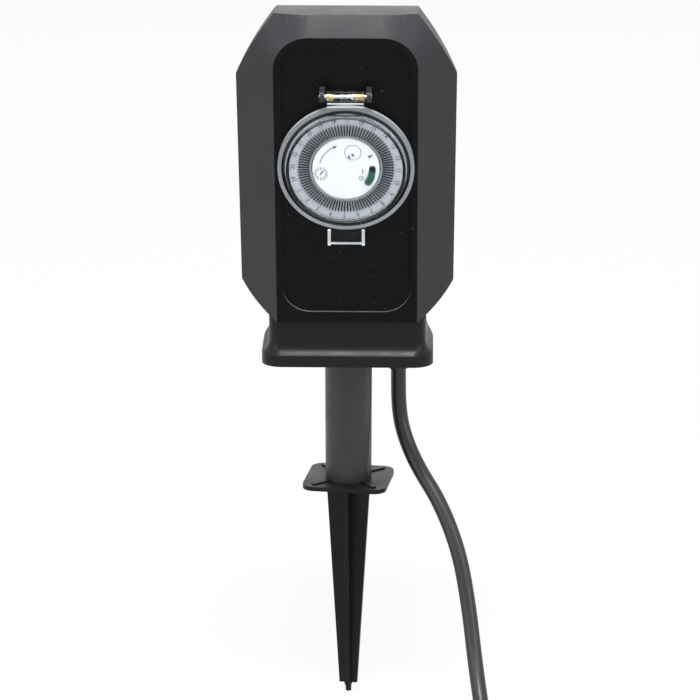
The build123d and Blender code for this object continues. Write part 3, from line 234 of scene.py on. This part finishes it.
def wire(name, color):
    """The insulation of one core of the wiring."""
    return plastic(name, color, 0.4, cord_grain)


# the clear lid's plastic: flow marks per metre, and where it turns from open to dense as it faces away
flow_marks_per_metre = 160.0
facing_low, facing_high = 0.22, 0.75
lid_ior = 1.49


def clear(name, color, roughness, open_share, bend):
    """Clear moulded plastic: thin where it faces the eye, denser on walls and edges, with faint flow marks.

    open_share is what stays of the plastic where it is met square on; bend is its share of refraction.
    """
    material, tree, shader = new_material(name)
    place = tree.nodes.new("ShaderNodeTexCoord").outputs["Object"]
    marks = noise_node(tree, place, flow_marks_per_metre, 2.0)
    tree.links.new(ramp(tree, marks, 0.3, 0.7, roughness * 0.5, roughness * 1.5), shader.inputs["Roughness"])
    facing = tree.nodes.new("ShaderNodeLayerWeight")
    facing.inputs["Blend"].default_value = 0.5
    dense = ramp(tree, facing.outputs["Facing"], facing_low, facing_high, open_share, 1.0)
    tree.links.new(dense, shader.inputs["Alpha"])
    shader.inputs["Base Color"].default_value = (*color, 1)
    shader.inputs["Transmission Weight"].default_value = bend
    shader.inputs["IOR"].default_value = lid_ior
    passing = tree.nodes.new("ShaderNodeBsdfTransparent")
    passing.inputs["Color"].default_value = (*color, 1)
    path = tree.nodes.new("ShaderNodeLightPath")
    mix = tree.nodes.new("ShaderNodeMixShader")
    tree.links.new(path.outputs["Is Shadow Ray"], mix.inputs["Fac"])
    tree.links.new(shader.outputs["BSDF"], mix.inputs[1])
    tree.links.new(passing.outputs["BSDF"], mix.inputs[2])
    tree.links.new(mix.outputs["Shader"], tree.nodes["Material Output"].inputs["Surface"])
    return material


finishes = {
    "hood_grey": plastic(
        "hood grained grey", (0.0275, 0.0287, 0.0318), 0.46, hood_grain, specular=0.2, dust=0.1
    ),
    # the hood's front faces: a smoother, darker and duller copy of the hood plastic, partly a face of its
    # own and partly painted shade of the front, which meets less light than the side facets
    "panel_black_painted_shade": plastic(
        "panel black painted shade", (0.0035, 0.0036, 0.0042), 0.42, insert_grain, specular=0.09, cloud=0.15, dust=0.5
    ),
    "foot_black": plastic(
        "foot black", (0.0035, 0.0036, 0.0042), 0.40, foot_grain, specular=0.24, cloud=0.15, dust=0.1
    ),
    "post_black": plastic("post grained", (0.020, 0.021, 0.022), 0.42, post_grain, cloud=0.2, dust=0.2),
    "insert_black": plastic("insert black", (0.012, 0.012, 0.013), 0.4, insert_grain),
    "lid_black": plastic("outlet lid black", (0.016, 0.017, 0.018), 0.42, outlet_lid_grain),
    "lid_clear": clear("lid clear", (0.95, 0.97, 0.98), 0.03, 0.10, 1.0),
    "lid_rim": clear("lid rim", (0.60, 0.65, 0.70), 0.12, 0.42, 0.35),
    # the lid tab's rims: a nearly white, denser plastic as painted highlight of the bright lines on its
    # edges
    "lid_edge_highlight": clear("lid edge painted highlight", (0.86, 0.89, 0.92), 0.15, 0.80, 0.3),
    # pale finishes for the lid's painted highlights: its rim line, the lines on its drum wall and the bands
    # on its hinge neck
    "rim_painted_highlight": plastic("lid rim painted highlight", (0.22, 0.235, 0.26), 0.2, dial_grain, cloud=0.06),
    "wall_painted_highlight": plastic("lid wall painted highlight", (0.42, 0.44, 0.47), 0.2, dial_grain, cloud=0.06),
    "neck_painted_highlight": plastic("lid neck painted highlight", (0.62, 0.64, 0.66), 0.2, dial_grain, cloud=0.04),
    # the pocket's wall: paler than the panel, a painted highlight of the light its edge catches
    "pocket_wall_highlight": plastic("pocket wall painted highlight", (0.10, 0.105, 0.112), 0.3, pocket_grain, cloud=0.1),
    # the dial's ring: a lavender white a little darker than the label, darkened further all round as painted
    # shade of the lid's rim
    "ring_shaded_white": plastic("dial ring painted shade", (0.43, 0.455, 0.51), 0.35, dial_grain, specular=0.4, cloud=0.03),
    "dial_white": plastic("dial white", (0.78, 0.80, 0.84), 0.35, dial_grain, specular=0.4, cloud=0.03),
    "gear_white": plastic("gear natural", (0.75, 0.74, 0.68), 0.4, gear_grain, cloud=0.04),
    "tripper_green": plastic(
        "tripper dark green", (0.002, 0.014, 0.012), 0.3, dial_grain, specular=0.3, cloud=0.1
    ),
    "slider_green": plastic("slider green", (0.006, 0.10, 0.055), 0.35, gear_grain, cloud=0.1),
    "print_green": plastic("print green", (0.004, 0.06, 0.05), 0.5, print_grain, specular=0.3, cloud=0.1),
    "seal_rubber": plastic("seal rubber", (0.012, 0.012, 0.012), 0.6, insert_grain, specular=0.3),
    "cord_rubber": plastic("cord rubber", (0.011, 0.012, 0.013), 0.4, cord_grain, cloud=0.1),
    "tie_black": plastic("tie black", (0.015, 0.015, 0.015), 0.4, cord_grain),
    "switch_black": plastic("switch black", (0.015, 0.015, 0.015), 0.4, insert_grain),
    "motor_steel": metal("motor steel", (0.6, 0.6, 0.6), 0.35),
    "screw_steel": metal("screw steel", (0.62, 0.61, 0.58), 0.3),
    "spring_steel": metal("spring steel", (0.55, 0.55, 0.55), 0.28),
    "spring_brass": metal("spring yellow", (0.86, 0.62, 0.12), 0.25),
    "contact_brass": metal("contact brass", (0.78, 0.56, 0.22), 0.25),
    "pin_nickel": metal("pin nickel", (0.72, 0.71, 0.68), 0.2),
    "wire_brown": wire("wire brown", (0.16, 0.06, 0.02)),
    "wire_black": wire("wire black", (0.02, 0.02, 0.02)),
    "wire_blue": wire("wire blue", (0.02, 0.1, 0.4)),
    "wire_green": wire("wire green", (0.25, 0.5, 0.05)),
}

node_slot = {entry["node"]: entry["material_slot"] for entry in frame["record"]["subparts"]}
bodies = frame["record"]["behaviour"]["bodies"]
node_body = {node: body for body, members in bodies.items() for node in members}

# the cord, its coil and its plug

cord_radius = 0.0042
cord_sides = 8
cord_steps = 8
coil_center = (0.0257, -0.142)
coil_inner_turn = 0.0456
coil_outer_turn = 0.0540
coil_step = 0.0084
coil_full_turns = 3
coil_start = radians(5.0)
turn_points = 16
# in turns from the coil's start: where the cord goes inward, up and outward, and how long each change takes
inward_from, upward_from, outward_from, change_long = 0.80, 1.62, 2.50, 0.18
# the plug's middle at the height of its lead, and how far from it the lead starts
plug_middle = np.array((-0.041, -0.213, 0.0126))
plug_lead_start = 0.0464
cord_route = [
    (0.0273, 0.0150, 0.2120),
    (0.0273, 0.0150, 0.1865),
    (0.0276, 0.0147, 0.1620),
    (0.0311, 0.0103, 0.1472),
    (0.0389, 0.0012, 0.1322),
    (0.0510, -0.0110, 0.1165),
    (0.0615, -0.0250, 0.0930),
    (0.0670, -0.0360, 0.0650),
    (0.0705, -0.0500, 0.0380),
    (0.0745, -0.0710, 0.0155),
    (0.0786, -0.0990, 0.0042),
    (0.0799, -0.1210, 0.0043),
]


def coil_points(end_angle):
    """Points of the coil's turns, a little over three, clockwise from above.

    The radius and the height are the outer and inner turn and the low and high layer, eased from one to
    the next over a share of a turn: low outer, low inner, high inner, high outer.
    """
    total = coil_start - end_angle + coil_full_turns * 2 * pi
    count = int(round(total / (2 * pi) * turn_points))
    run = np.linspace(0, total, count + 1)
    turns = run / (2 * pi)

    def eased(start):
        share = np.clip((turns - start) / change_long, 0, 1)
        return share * share * (3 - 2 * share)

    inward = eased(inward_from) - eased(outward_from)
    lift = eased(upward_from)
    radius = coil_outer_turn - inward * (coil_outer_turn - coil_inner_turn)
    height = cord_radius + lift * coil_step
    angle = coil_start - run
    return np.stack(
        (coil_center[0] + radius * np.cos(angle), coil_center[1] + radius * np.sin(angle), height), axis=1
    )


def make_cord():
    """The cord's own spline: the route down from the foot, the coil's turns and the lead into the plug.

    The lead is the tangent from the plug to the coil's outer turn.
    """
    plug_place, lead_z = plug_middle[:2], plug_middle[2]
    to_coil = np.array(coil_center) - plug_place
    gap = np.hypot(*to_coil)
    aim = np.arctan2(to_coil[1], to_coil[0]) - np.arcsin(coil_outer_turn / gap)
    direction = np.array([cos(aim), sin(aim)])
    tangent = plug_place + np.sqrt(gap**2 - coil_outer_turn**2) * direction
    leave = np.arctan2(tangent[1] - coil_center[1], tangent[0] - coil_center[0])
    coil = coil_points(leave if leave < coil_start else leave - 2 * pi)
    lead_start = plug_place + direction * plug_lead_start
    middle = (lead_start + tangent) / 2
    lead = [(middle[0], middle[1], lead_z), (lead_start[0], lead_start[1], lead_z)]
    points = np.array(cord_route + [tuple(p) for p in coil] + lead)
    curve = bpy.data.curves.new("supply_cord", "CURVE")
    curve.dimensions = "3D"
    curve.bevel_depth = cord_radius
    curve.bevel_resolution = cord_sides
    curve.resolution_u = cord_steps
    curve.use_fill_caps = True
    spline = curve.splines.new("NURBS")
    spline.points.add(len(points) - 1)
    spline.points.foreach_set("co", np.c_[points, np.ones(len(points))].ravel())
    spline.order_u = 3
    spline.use_endpoint_u = True
    cord = bpy.data.objects.new("supply_cord", curve)
    scene.collection.objects.link(cord)
    curve.materials.append(finishes["cord_rubber"])
    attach(cord, "base")
    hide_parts("cord_tube", "cord_coil", "plug_lead")
    return cord


supply_cord = make_cord()

# dressed copies of the CAD pieces

same_place = 0.000002
same_plane = radians(0.4)
sharp_edge = radians(32.0)
soft_edge = radians(17.0)
outside_slack = 0.00004
rear_facing = 0.95


def outer_edges(work, keep):
    """The edges of a piece's convex outside: those between two faces that no kept corner stands before."""
    corners = np.array([v.co[:] for v in work.verts])
    corners = corners[keep(corners)]
    normals = np.array([f.normal[:] for f in work.faces])
    centers = np.array([f.calc_center_median()[:] for f in work.faces])
    before = (normals @ corners.T).max(axis=1) - np.sum(normals * centers, axis=1)
    outer = (before < outside_slack) & (normals[:, 1] < rear_facing)
    return [
        edge for edge in work.edges
        if len(edge.link_faces) == 2
        and all(outer[face.index] for face in edge.link_faces)
        and edge.calc_face_angle(0.0) > soft_edge
    ]


def merge_mesh(mesh, soft, keep):
    """Merges a copied mesh's doubles and flat triangles, and weighs its outer edges if they are soft."""
    work = bmesh.new()
    work.from_mesh(mesh)
    bmesh.ops.remove_doubles(work, verts=work.verts, dist=same_place)
    bmesh.ops.dissolve_limit(
        work, angle_limit=same_plane, use_dissolve_boundaries=False, verts=work.verts, edges=work.edges
    )
    if soft:
        weight = work.edges.layers.float.new("bevel_weight_edge")
        work.faces.index_update()
        for edge in outer_edges(work, keep):
            edge[weight] = 1.0
    work.to_mesh(mesh)
    work.free()
    for key in [layer.name for layer in mesh.attributes if layer.name == "custom_normal"]:
        mesh.attributes.remove(mesh.attributes[key])
    mesh.polygons.foreach_set("use_smooth", np.ones(len(mesh.polygons), dtype=bool))
    mesh.set_sharp_from_angle(angle=sharp_edge)


def pick_faces(mesh, picks):
    """Gives each face whose centre and normal pass a test the finish that goes with the test."""
    count = len(mesh.polygons)
    centers, normals = np.zeros(3 * count), np.zeros(3 * count)
    mesh.polygons.foreach_get("center", centers)
    mesh.polygons.foreach_get("normal", normals)
    index = np.zeros(count, dtype=np.int32)
    for number, (other, test) in enumerate(picks, 1):
        mesh.materials.append(finishes[other])
        index[test(centers.reshape(-1, 3), normals.reshape(-1, 3))] = number
    mesh.polygons.foreach_set("material_index", index)


def dressed(node, bevel=0.0, picks=(), soft=0.0, keep=None, finish=None):
    """A copy of a CAD node with its doubles merged and its edges rounded, which stands for the node.

    bevel is the width of every sharp edge, soft the width of the outer edges alone, in metres. picks are
    (finish, test) pairs for single faces.
    """
    mesh = nodes[node].data.copy()
    mesh.name = node + "_dressed"
    piece = bpy.data.objects.new(mesh.name, mesh)
    scene.collection.objects.link(piece)
    merge_mesh(mesh, soft, keep)
    slot = node_slot[node]
    mesh.materials.clear()
    mesh.materials.append(finishes[finish or slot])
    if picks:
        pick_faces(mesh, picks)
    if soft:
        edge = piece.modifiers.new("soft edge", "BEVEL")
        edge.width = soft
        edge.segments = 4
        edge.limit_method = "WEIGHT"
        edge.use_clamp_overlap = True
    if bevel:
        edge = piece.modifiers.new("edge", "BEVEL")
        edge.width = bevel
        edge.segments = 2
        edge.limit_method = "ANGLE"
        edge.angle_limit = sharp_edge
        edge.harden_normals = True
        edge.use_clamp_overlap = True
        edge.miter_outer = "MITER_ARC"
    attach(piece, node_body[node])
    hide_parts(node)
    return piece


# the dial's place: its centre in the panel's face, and the panel's own directions
lean = radians(12.8)
panel_out = np.array((0, -cos(lean), -sin(lean)))
panel_up = np.array((0, -sin(lean), cos(lean)))
dial_center = np.array((0, -0.060826, 0.320464))

# bounds that tell the faces apart, in metres from the dial's centre
panel_face_top = 0.0005
ears_start = 0.0003
pocket_floor = -0.00125
past_timer_hole = 0.0335
tab_start = -0.034
tab_half = 0.0102
tab_rim_inside = 0.0081
tab_face = 0.0032
lid_flange_edge = 0.0355
lid_rim_inside, lid_rim_outside = 0.0350, 0.0362
well_radius = 0.0180
well_top = 0.0022

# how far a face's normal leans along the panel's outward direction
flat_on = 0.97
mostly_on = 0.5
edge_on = 0.3


def from_dial(centers):
    """How far the points lie from the dial's centre: across, up the panel, out of it and from its axis."""
    local = centers - dial_center
    across, up, out = local[:, 0], local @ panel_up, local @ panel_out
    return across, up, out, np.hypot(across, up)


def on_panel(centers, normals):
    """The faces that look straight out of the panel, or lie in its pocket, but not the lid's ears; their
    darker finish is partly painted shade.
    """
    across, up, out, away = from_dial(centers)
    return (normals @ panel_out > flat_on) & (out < panel_face_top)


def on_pocket_wall(centers, normals):
    """The low wall all round the panel's pocket, which takes a paler grey as painted highlight."""
    across, up, out, away = from_dial(centers)
    wall = (out > pocket_floor) & (out < 0) & (away > past_timer_hole)
    return (np.abs(normals @ panel_out) < edge_on) & wall


def off_ears(corners):
    """The corners that aren't on the lid's ears."""
    return (corners - dial_center) @ panel_out < ears_start


def on_edges(centers, normals):
    """The rims of the lid's tab and the tab's end, which take a nearly white, denser plastic as painted
    highlight.
    """
    across, up, out, away = from_dial(centers)
    tab = (up < tab_start) & (np.abs(across) < tab_half)
    rim = tab & (np.abs(across) > tab_rim_inside) & (out > tab_face)
    return ((np.abs(normals @ panel_out) < edge_on) & tab & (away > lid_flange_edge)) | rim


def on_rim(centers, normals):
    """The outer wall of the lid's flange."""
    across, up, out, away = from_dial(centers)
    return (away > lid_rim_inside) & (away < lid_rim_outside) & (np.abs(normals @ panel_out) < edge_on)


def in_well(centers, normals):
    """The floor of the dial's well, under the label."""
    across, up, out, away = from_dial(centers)
    return (away < well_radius) & (normals @ panel_out > mostly_on) & (out < well_top)


# the front faces take the darker panel finish with its painted shade, and the pocket's wall a paler grey as
# painted highlight
panel_picks = (("panel_black_painted_shade", on_panel), ("pocket_wall_highlight", on_pocket_wall))
dressed_pieces = {
    "front_cover": dict(bevel=0.0004, picks=panel_picks, soft=0.0016, keep=off_ears),
    "rear_cover": dict(bevel=0.0005),
    "hood_foot": dict(bevel=0.0005),
    "post": dict(bevel=0.0003),
    "ground_spike": dict(bevel=0.0004),
    "timer_lid": dict(bevel=0.0003, picks=(("lid_rim", on_rim), ("lid_edge_highlight", on_edges))),
    "dial_ring": dict(picks=(("insert_black", in_well),), finish="ring_shaded_white"),
    "label_disc": dict(bevel=0.0001),
    "lower_lid": dict(bevel=0.0006),
    "upper_lid": dict(bevel=0.0006),
    "lower_outlet_insert": dict(bevel=0.0004),
    "upper_outlet_insert": dict(bevel=0.0004),
    "cord_grip": dict(bevel=0.0003),
    "plug_body": dict(bevel=0.0006),
    "timer_case": dict(bevel=0.0002),
    "mode_slider": dict(bevel=0.0001),
}
made = {node: dressed(node, **how) for node, how in dressed_pieces.items()}

# the other nodes take the finish of their slot, but the lid's pin shows as bare steel
other_finish = {"timer_lid_pin": "spring_steel"}
covered = set(dressed_pieces) | {"cord_tube", "cord_coil", "plug_lead"}
for node, thing in nodes.items():
    if node in covered:
        continue
    thing.data.materials.clear()
    thing.data.materials.append(finishes[other_finish.get(node, node_slot[node])])

# print on the dial, in millimetres from the dial's centre and in radians round it

dial_front = 2.9
label_front = 3.2
print_thick = 0.03
hours = 24
quarters = 4 * hours
quarter = 2 * pi / quarters
hour_turn = radians(-166.875)
tick_inner = 25.45
long_tick = (26.5, 0.34)
short_tick = (26.0, 0.24)
dot_inner, dot_outer, dot_wide = 18.35, 18.95, 0.34
number_tall = 2.3
number_radius = 27.95
number_squeeze = 0.92
cap_share = 0.7
stroke_share = 0.018


def in_dial(points):
    """Points (across, up the panel, out of it), in millimetres from the dial, put in the shared frame."""
    points = np.asarray(points, dtype=float) * mm
    right = np.array((1.0, 0, 0))
    return dial_center + points[:, :1] * right + points[:, 1:2] * panel_up + points[:, 2:] * panel_out


def toward(turn):
    """The unit direction at a turn, in the dial's plane."""
    return np.array((cos(turn), sin(turn)))


def add_piece(name, vertices, faces, finish, body):
    """A new piece from points in the shared frame, riding on a body."""
    mesh = bpy.data.meshes.new(name)
    mesh.from_pydata([tuple(v) for v in vertices], [], faces)
    mesh.validate()
    mesh.materials.append(finishes[finish])
    piece = bpy.data.objects.new(name, mesh)
    scene.collection.objects.link(piece)
    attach(piece, body)
    return piece


def prism(outline, low, high, start):
    """A closed prism on a counter-clockwise outline, from low to high, its vertices numbered from start.

    Its points are (x, y, low) and then (x, y, high), with (x, y) going round the outline.
    """
    outline = np.asarray(outline, dtype=float)
    count = len(outline)
    bottom = np.c_[outline, np.full(count, low)]
    top = np.c_[outline, np.full(count, high)]
    ids = np.arange(count)
    following = (ids + 1) % count
    sides = np.stack((ids, following, following + count, ids + count), axis=1) + start
    faces = [tuple(row) for row in sides]
    faces.append(tuple(range(start + count, start + 2 * count)))
    faces.append(tuple(range(start, start + count))[::-1])
    return np.vstack((bottom, top)), faces


def prisms(outlines, low, high):
    """Many prisms as one mesh."""
    vertices, faces, start = [], [], 0
    for outline in outlines:
        more, more_faces = prism(outline, low, high, start)
        vertices.append(more)
        faces.extend(more_faces)
        start += len(more)
    return np.vstack(vertices), faces


def bar(center, length, width, turn):
    """A rectangle of that length along the turn, in radians, about its centre."""
    along = toward(turn) * length / 2
    across = np.array((-sin(turn), cos(turn))) * width / 2
    center = np.asarray(center, dtype=float)
    near, far = center - along, center + along
    return [near - across, far - across, far + across, near + across]


def tick(radius_in, radius_out, width, turn):
    """A bar that points at the dial's centre."""
    middle = (radius_in + radius_out) / 2
    return bar((middle * cos(turn), middle * sin(turn)), radius_out - radius_in, width, turn)


def band(center, radius, width, start, end, count):
    """A curved strip as a chain of quads, from start to end in radians."""
    turns = np.linspace(start, end, count + 1)
    ring_in = np.c_[np.cos(turns), np.sin(turns)] * (radius - width / 2) + center
    ring_out = np.c_[np.cos(turns), np.sin(turns)] * (radius + width / 2) + center
    return [[ring_in[i], ring_out[i], ring_out[i + 1], ring_in[i + 1]] for i in range(count)]


def make_scale():
    """Ticks round the dial, short at each quarter hour and long at each hour, and a dotted inner ring."""
    outlines = []
    for number in range(quarters):
        turn = hour_turn + number * quarter
        outer, wide = short_tick if number % 4 else long_tick
        outlines.append(tick(tick_inner, outer, wide, turn))
        outlines.append(tick(dot_inner, dot_outer, dot_wide, turn + quarter / 2))
    vertices, faces = prisms(outlines, dial_front, dial_front + print_thick)
    return add_piece("dial_scale", in_dial(vertices), faces, "print_green", "dial")


def number_outline(words):
    """A number's filled figures as a flat mesh, centred on its middle."""
    curve = bpy.data.curves.new("hour", "FONT")
    curve.body = words
    curve.size = number_tall / cap_share
    curve.align_x = "CENTER"
    curve.align_y = "CENTER"
    curve.resolution_u = 3
    curve.offset = number_tall * stroke_share
    text = bpy.data.objects.new("hour", curve)
    scene.collection.objects.link(text)
    bpy.context.view_layer.update()
    mesh = bpy.data.meshes.new_from_object(text)
    places = np.zeros(3 * len(mesh.vertices))
    mesh.vertices.foreach_get("co", places)
    faces = [tuple(p.vertices) for p in mesh.polygons]
    bpy.data.objects.remove(text)
    bpy.data.curves.remove(curve)
    bpy.data.meshes.remove(mesh)
    return places.reshape(-1, 3)[:, :2], faces


def make_numbers():
    """The hours 1 to 24, their tops outward: each is turned by (x cos a - y sin a, x sin a + y cos a)."""
    vertices, faces, start = [], [], 0
    for hour in range(1, hours + 1):
        flat, more = number_outline(str(hour))
        flat = flat * (number_squeeze, 1.0)
        turn = hour_turn + hour * 4 * quarter - pi / 2
        spun = np.c_[
            flat[:, 0] * cos(turn) - flat[:, 1] * sin(turn), flat[:, 0] * sin(turn) + flat[:, 1] * cos(turn)
        ]
        spun += number_radius * toward(turn + pi / 2)
        vertices.append(np.c_[spun, np.full(len(spun), dial_front + print_thick)])
        faces.extend(tuple(i + start for i in face) for face in more)
        start += len(spun)
    places = in_dial(np.vstack(vertices))
    return add_piece("dial_numbers", places, faces, "print_green", "dial")


# the label's marks
arrow_radius = 14.0
arrow_tail, arrow_head, arrow_tip = radians(167), radians(118), radians(108)
arrow_head_half = 0.9
sun_center = np.array((-13.19, -3.02))
sun_rays = 16
sun_outer, sun_inner, sun_inner_long = 3.9, 2.5, 2.1
line_wide = 0.42
hand_shift, hand_long, hand_wide, hand_turn = (0.3, 0.4), 2.6, 0.75, radians(52)
pointer_turn = radians(30)
pointer_outer, pointer_inner, pointer_half = 16.8, 13.6, 0.85
on_center, on_long, on_wide = (8.79, -1.47), 2.4, 0.5
clock_center = np.array((7.93, -5.34))
clock_radius, clock_wide = 1.05, 0.3
clock_hand_shift, clock_hand_long, clock_hand_wide, clock_hand_turn = (0.25, 0.2), 1.0, 0.2, radians(40)
window_center, window_radius, window_wide = (3.64, 9.45), 4.3, 0.28


def make_symbols():
    """The label's marks: drive arrow, day symbol, pointer, window ring, and the two switch positions."""
    outlines = band((0, 0), arrow_radius, line_wide, arrow_head, arrow_tail, 24)
    outlines.append([
        arrow_radius * toward(arrow_tip),
        (arrow_radius + arrow_head_half) * toward(arrow_head),
        (arrow_radius - arrow_head_half) * toward(arrow_head),
    ])
    for number in range(sun_rays):
        turn = 2 * pi * number / sun_rays
        inner = sun_inner if number % 2 else sun_inner_long
        center = sun_center + (inner + sun_outer) / 2 * toward(turn)
        outlines.append(bar(center, sun_outer - inner, line_wide, turn))
    outlines.append(bar(sun_center + hand_shift, hand_long, hand_wide, hand_turn))
    outward = toward(pointer_turn)
    across = toward(pointer_turn + pi / 2)
    outlines.append([
        pointer_outer * outward,
        pointer_inner * outward + pointer_half * across,
        pointer_inner * outward - pointer_half * across,
    ])
    outlines.append(bar(on_center, on_long, on_wide, pi / 2))
    outlines += band(clock_center, clock_radius, clock_wide, 0, 2 * pi, 24)
    outlines.append(bar(clock_center + clock_hand_shift, clock_hand_long, clock_hand_wide, clock_hand_turn))
    outlines += band(window_center, window_radius, window_wide, 0, 2 * pi, 32)
    vertices, faces = prisms(outlines, label_front, label_front + print_thick)
    return add_piece("label_marks", in_dial(vertices), faces, "print_green", "base")


# the lid's painted highlights, thin pale rings and bands standing in for the light caught on the clear lid's
# rim, drum wall and hinge neck: the inner and outer radius and the low and high side of each ring
rim_highlight_line = (33.9, 35.85, 3.12, 3.22)
inner_wall_highlight = (29.3, 29.72, 3.3, 3.6)
outer_wall_highlight = (31.68, 31.95, 3.12, 3.4)
neck_half = 9.4
neck_highlight_half = 0.35
neck_highlight_rises = (37.1, 39.0)
neck_highlight_low, neck_highlight_high = 5.84, 6.1
hoop_steps = 128


def hoop(radius_in, radius_out, low, high):
    """A flat ring about the dial's axis: (r cos a, r sin a, n) at the four corners (r, n) of its section.

    a runs round in equal steps, r is radius_in or radius_out, n is low or high, all in millimetres.
    """
    turns = np.arange(hoop_steps) * 2 * pi / hoop_steps
    radius = np.array((radius_in, radius_out, radius_out, radius_in))[:, None]
    height = np.array((low, low, high, high))[:, None] + 0 * turns
    vertices = np.stack((radius * np.cos(turns), radius * np.sin(turns), height), axis=2)
    ids = np.arange(4 * hoop_steps).reshape(4, hoop_steps)
    after = np.roll(ids, -1, axis=1)
    faces = np.stack((ids, after, np.roll(after, -1, axis=0), np.roll(ids, -1, axis=0)), axis=2)
    return vertices.reshape(-1, 3), [tuple(face) for face in faces.reshape(-1, 4)]


def make_lid_lines():
    """Painted highlights on the lid: a pale line at its outer rim, one on each side of the drum's wall and
    two bands across the hinge's neck.
    """
    for name, finish, sizes in (
        ("lid_rim_highlight", "rim_painted_highlight", rim_highlight_line),
        ("lid_wall_highlight_inner", "wall_painted_highlight", inner_wall_highlight),
        ("lid_wall_highlight_outer", "wall_painted_highlight", outer_wall_highlight),
    ):
        vertices, faces = hoop(*sizes)
        add_piece(name, in_dial(vertices), faces, finish, node_body["timer_lid"])
    highlight_bands = [
        [
            (-neck_half, rise - neck_highlight_half), (neck_half, rise - neck_highlight_half),
            (neck_half, rise + neck_highlight_half), (-neck_half, rise + neck_highlight_half),
        ]
        for rise in neck_highlight_rises
    ]
    vertices, faces = prisms(highlight_bands, neck_highlight_low, neck_highlight_high)
    add_piece("lid_neck_highlights", in_dial(vertices), faces, "neck_painted_highlight", node_body["timer_lid"])


make_scale()
make_numbers()
make_symbols()
make_lid_lines()

# stage and lights

floor_half = 6.0
floor_glow = 0.92
room_light = 0.38


def where_seen(tree):
    """One where a ray comes from the camera, a mirror or a clear piece, and zero where it only lights."""
    path = tree.nodes.new("ShaderNodeLightPath")
    seen = math_node(tree, "MAXIMUM", path.outputs["Is Camera Ray"], path.outputs["Is Glossy Ray"])
    return math_node(tree, "MAXIMUM", seen, path.outputs["Is Transmission Ray"])


def make_floor():
    """A wide plain pale floor that glows nearly white where it is seen, and still takes the shadow."""
    mesh = bpy.data.meshes.new("floor")
    corners = [(x * floor_half, y * floor_half, 0) for x, y in ((-1, -1), (1, -1), (1, 1), (-1, 1))]
    mesh.from_pydata(corners, [], [(0, 1, 2, 3)])
    material, tree, shader = new_material("pale floor")
    shader.inputs["Base Color"].default_value = (0.8, 0.8, 0.8, 1)
    shader.inputs["Roughness"].default_value = 0.9
    shader.inputs["Specular IOR Level"].default_value = 0.0
    light = tree.nodes.new("ShaderNodeEmission")
    mix = tree.nodes.new("ShaderNodeMixShader")
    tree.links.new(math_node(tree, "MULTIPLY", where_seen(tree), floor_glow), mix.inputs["Fac"])
    tree.links.new(shader.outputs["BSDF"], mix.inputs[1])
    tree.links.new(light.outputs["Emission"], mix.inputs[2])
    tree.links.new(mix.outputs["Shader"], tree.nodes["Material Output"].inputs["Surface"])
    mesh.materials.append(material)
    floor = bpy.data.objects.new("floor", mesh)
    scene.collection.objects.link(floor)


def make_world():
    """A plain pale room: white where it is seen or mirrored, softer where it lights."""
    world = bpy.data.worlds.new("studio")
    world.use_nodes = True
    tree = world.node_tree
    back = tree.nodes["Background"]
    tree.links.new(ramp(tree, where_seen(tree), 0.0, 1.0, room_light, 1.0), back.inputs["Strength"])
    back.inputs["Color"].default_value = (1, 1, 1, 1)
    scene.world = world


def area_light(name, place, target, size, power):
    """A flat lamp at a place, turned to a target, with its two sides in metres and its power in watts."""
    data = bpy.data.lights.new(name, "AREA")
    data.shape = "RECTANGLE"
    data.size, data.size_y = size
    data.energy = power
    light = bpy.data.objects.new(name, data)
    light.location = place
    light.rotation_euler = (Vector(target) - Vector(place)).to_track_quat("-Z", "Y").to_euler()
    scene.collection.objects.link(light)


make_floor()
make_world()
area_light("key_right", (1.6, -1.2, 1.3), (0, 0, 0.28), (0.8, 1.2), 15)
area_light("fill_left", (-1.7, -1.0, 1.0), (0, 0, 0.28), (0.8, 1.2), 11)
area_light("top", (0, -0.72, 2.1), (0, 0, 0.25), (0.6, 0.3), 46)
area_light("behind", (0, 1.7, 1.1), (0, 0, 0.35), (1.4, 0.5), 4)

scene.view_settings.view_transform = "Standard"
